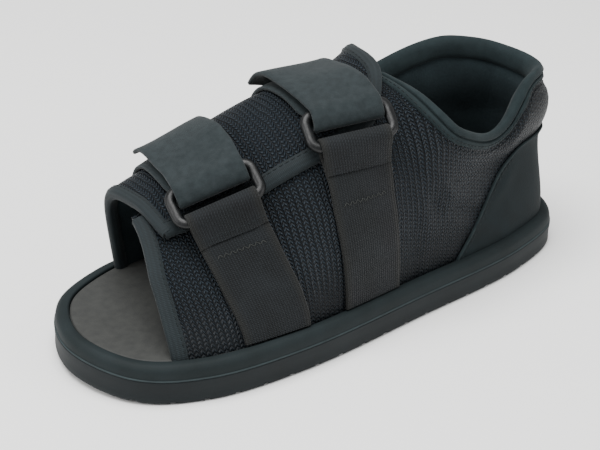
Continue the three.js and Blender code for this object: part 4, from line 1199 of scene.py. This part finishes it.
# The upper put together
quarter_us = np.linspace(-19.5, 25.6, 300)
quarter_vs = np.linspace(0.0, 0.995, 64)
quarter_out, quarter_in = quarter_surface(0.0, PAD_OUT), quarter_surface(-WALL, -PAD_IN)
quarter_normal = outward_checked(surface_normal(quarter_out, 0.05, 0.004, (0, 1)), quarter_out, 12.0, 0.3)
quarter_height = grid_lookup(quarter_us, quarter_vs, column_height(quarter_out, quarter_us, quarter_vs))
quarter_edges = [inside_collar, inside_quarter_front, inside_quarter_top]
quarter = panel(
    "quarter", (quarter_out, quarter_in, quarter_normal), quarter_us, quarter_vs, quarter_edges,
    lambda u, v, p: np.stack([perimeter(u), quarter_height(u, v)], axis=-1), QUARTER_FOLDS,
    [mesh_knit, lining], ["upper"])

flap_us = np.linspace(8.0, 24.5, 190)
flap_vs = np.linspace(-1.0, 0.985, 120)
flap_out, flap_in = flap_surface(0.0), flap_surface(-WALL)
flap_normal = outward_checked(surface_normal(flap_out, 0.05, 0.008, (-1, 1)), flap_out, 18.0, 0.0)
flap_height = grid_lookup(flap_us, flap_vs, column_height(flap_out, flap_us, flap_vs))
flap_edges = [inside_flap_front, inside_flap_near, inside_flap_rear]
flap = panel(
    "flap", (flap_out, flap_in, flap_normal), flap_us, flap_vs, flap_edges,
    lambda u, v, p: np.stack([p[:, 0] + SHOE_LENGTH, flap_height(u, v)], axis=-1), FLAP_FOLDS,
    [mesh_knit, lining], ["upper"])

sewing, tacks = [], []
collar_run = edge_line(quarter, inside_collar)
collar, seam = bind_edge("collar_roll", collar_run, quarter, ROLL_WIDTH, ROLL_THICKNESS, collar_knit,
                         ["collar_binding"], ROLL_INNER_WIDTH, ROLL_SEAM)
sewing += dashes(*seam)
below = [lie_on(quarter["trees"][0], start + across * COLLAR_SECOND_ROW, out, THREAD_LIFT)
         for start, out, across in zip(*collar_run[:3])]
sewing += dashes(soften(np.array(below), 4), collar_run[1])
_, seam = bind_edge("quarter_front_binding", edge_line(quarter, inside_quarter_front), quarter,
                    QUARTER_TAPE, TAPE_THICKNESS, tape, ["quarter_binding"])
sewing += dashes(*seam)
for side_name, edge, width in (("front", inside_flap_front, FLAP_FRONT_TAPE),
                               ("near", inside_flap_near, FLAP_NEAR_TAPE),
                               ("rear", inside_flap_rear, FLAP_REAR_TAPE)):
    _, seam = bind_edge(f"flap_{side_name}_binding", edge_line(flap, edge), flap, width, TAPE_THICKNESS,
                        tape, ["flap_binding"])
    sewing += dashes(*seam)

# The heel counter put together
counter_us = np.linspace(-11.5, 11.5, 220)
counter_vs = np.linspace(0.0, 0.9, 60)
counter_out = quarter_surface(CLEARANCE + COUNTER_THICKNESS, PAD_OUT)
counter_in = quarter_surface(CLEARANCE, PAD_OUT)
counter_normal = outward_checked(
    surface_normal(counter_out, 0.05, 0.004, (0, 1)), counter_out, 5.0, 0.3)
counter = panel(
    "heel_counter_cloth", (counter_out, counter_in, counter_normal), counter_us, counter_vs,
    [inside_counter], lambda u, v, p: np.stack([perimeter(u), v * 100], axis=-1), QUARTER_FOLDS,
    [suede, suede], ["heel_counter"])
seam, seam_normal, seam_in, _ = edge_line(counter, inside_counter)
# The piping is coloured with the paler collar knit as a painted highlight along the seam's cord.
piping("counter_piping", seam - seam_normal * 0.4 + seam_in * 0.3, PIPING_RADIUS, collar_knit)
sewing += dashes(seam + seam_normal * THREAD_LIFT + seam_in * COUNTER_ROW, seam_normal)

# The fastening put together
for strap in STRAPS:
    place = ring_place(strap)
    name = strap["name"]
    ribbon(f"{name}_closing_strap", lambda off: strap_path(strap, place, off), STRAP_THICKNESS, 230,
           loop_pile, f"strap_{name}")
    paths, normal = ribbon(f"{name}_ring_webbing", lambda off: webbing_path(strap, place, off),
                           WEBBING_THICKNESS, 110, twill, f"webbing_{name}", taper=5)
    ring(f"{name}_loop", place, nylon, f"ring_{name}")
    # The webbing's turned end is sewn down by one straight row and one zigzag row below it.
    face = normal * (1 if normal[-1, MIDDLE_COLUMN] @ place["outward"] > 0 else -1)
    row = paths[-5] + face[-5] * (WEBBING_THICKNESS * 0.42)
    sewing += dashes(row, face[-5], 2.6, 1.9)
    middle = paths[:, MIDDLE_COLUMN]
    under = np.linalg.norm(middle[:60] - middle[-1], axis=1).argmin() - 5
    out = face[under] if face[under, MIDDLE_COLUMN] @ place["outward"] > 0 else -face[under]
    low, high = (paths[at] + out * (WEBBING_THICKNESS / 2 + THREAD_LIFT) for at in (under - 2, under))
    low, high = (resample(np.concatenate([line, out], axis=1), 1.5) for line in (low, high))
    for k in range(3, min(len(low), len(high)) - 4):
        ends = (low[k, :3], high[k + 1, :3]) if k % 2 else (high[k, :3], low[k + 1, :3])
        tacks.append((*ends, unit(low[k, 3:])))
stitches("sewing_thread", sewing, thread)
stitches("tack_thread", tacks, pale_thread)

# The sole put together
grooved_outsole(rubber)
# Faces below the lip's top take the paler tone, a painted highlight along the seam.
stacked("midsole_rim", MIDSOLE_PROFILE, [foam, lip_painted_highlight], "midsole", second_below=LIP_TOP)
stacked("insole_sock", INSOLE_PROFILE, [sock], "insole")

# Camera, floor and light
CAMERA_PLACE = (0.39296, 0.50778, 0.39157)
CAMERA_RIGHT = (-0.81094, 0.58438, 0.02942)
CAMERA_UP = (-0.26264, -0.40848, 0.87417)
CAMERA_BACK = (0.52287, 0.70117, 0.48474)
CAMERA_LENS, CAMERA_SENSOR = 87.8, 36.0
SHOE_MIDDLE = (0, 0, 0.05)

camera = put_in_scene("camera", bpy.data.cameras.new("camera"))
bpy.context.scene.camera = camera
camera.data.lens, camera.data.sensor_width = CAMERA_LENS, CAMERA_SENSOR
turned = Matrix((CAMERA_RIGHT, CAMERA_UP, CAMERA_BACK)).transposed()
camera.matrix_world = Matrix.Translation(CAMERA_PLACE) @ turned.to_4x4()

floor_mesh = bpy.data.meshes.new("floor")
floor_mesh.from_pydata([(-3, -3, 0), (3, -3, 0), (3, 3, 0), (-3, 3, 0)], [], [(0, 1, 2, 3)])
floor = put_in_scene("floor", floor_mesh)
# Floor: plain matt paper, almost white and barely uneven
paper, paper_tree, paper_shader = surface("matt paper", {"Roughness": 0.9, "Specular IOR Level": 0.2})
paper_at = add(paper_tree, "TexCoord").outputs["Object"]
paper_noise = add(paper_tree, "TexNoise", {"Scale": 3.0}, {"Vector": paper_at})
connect(paper_tree, paper_shader, {"Base Color": two_tone(paper_tree, paper_noise, "f4f4f3", "f7f7f6")})
floor_mesh.materials.append(paper)

world = bpy.data.worlds.new("studio")
bpy.context.scene.world = world
world.use_nodes = True
world.node_tree.nodes["Background"].inputs["Color"].default_value = (1.0, 1.0, 1.0, 1.0)
world.node_tree.nodes["Background"].inputs["Strength"].default_value = 0.6


def softbox(name, place, size, power):
    """A round soft lamp that looks at the shoe's middle."""
    light = bpy.data.lights.new(name, "AREA")
    light.shape, light.size, light.energy = "DISK", size, power
    lamp = put_in_scene(name, light)
    lamp.location = place
    lamp.rotation_euler = (Vector(SHOE_MIDDLE) - Vector(place)).to_track_quat("-Z", "Y").to_euler()


softbox("overhead", (0.25, 0.0, 1.5), 1.3, 42)
softbox("camera_left", (1.0, -0.1, 0.6), 0.6, 5)
softbox("camera_right", (-0.5, 0.9, 0.5), 0.6, 3)
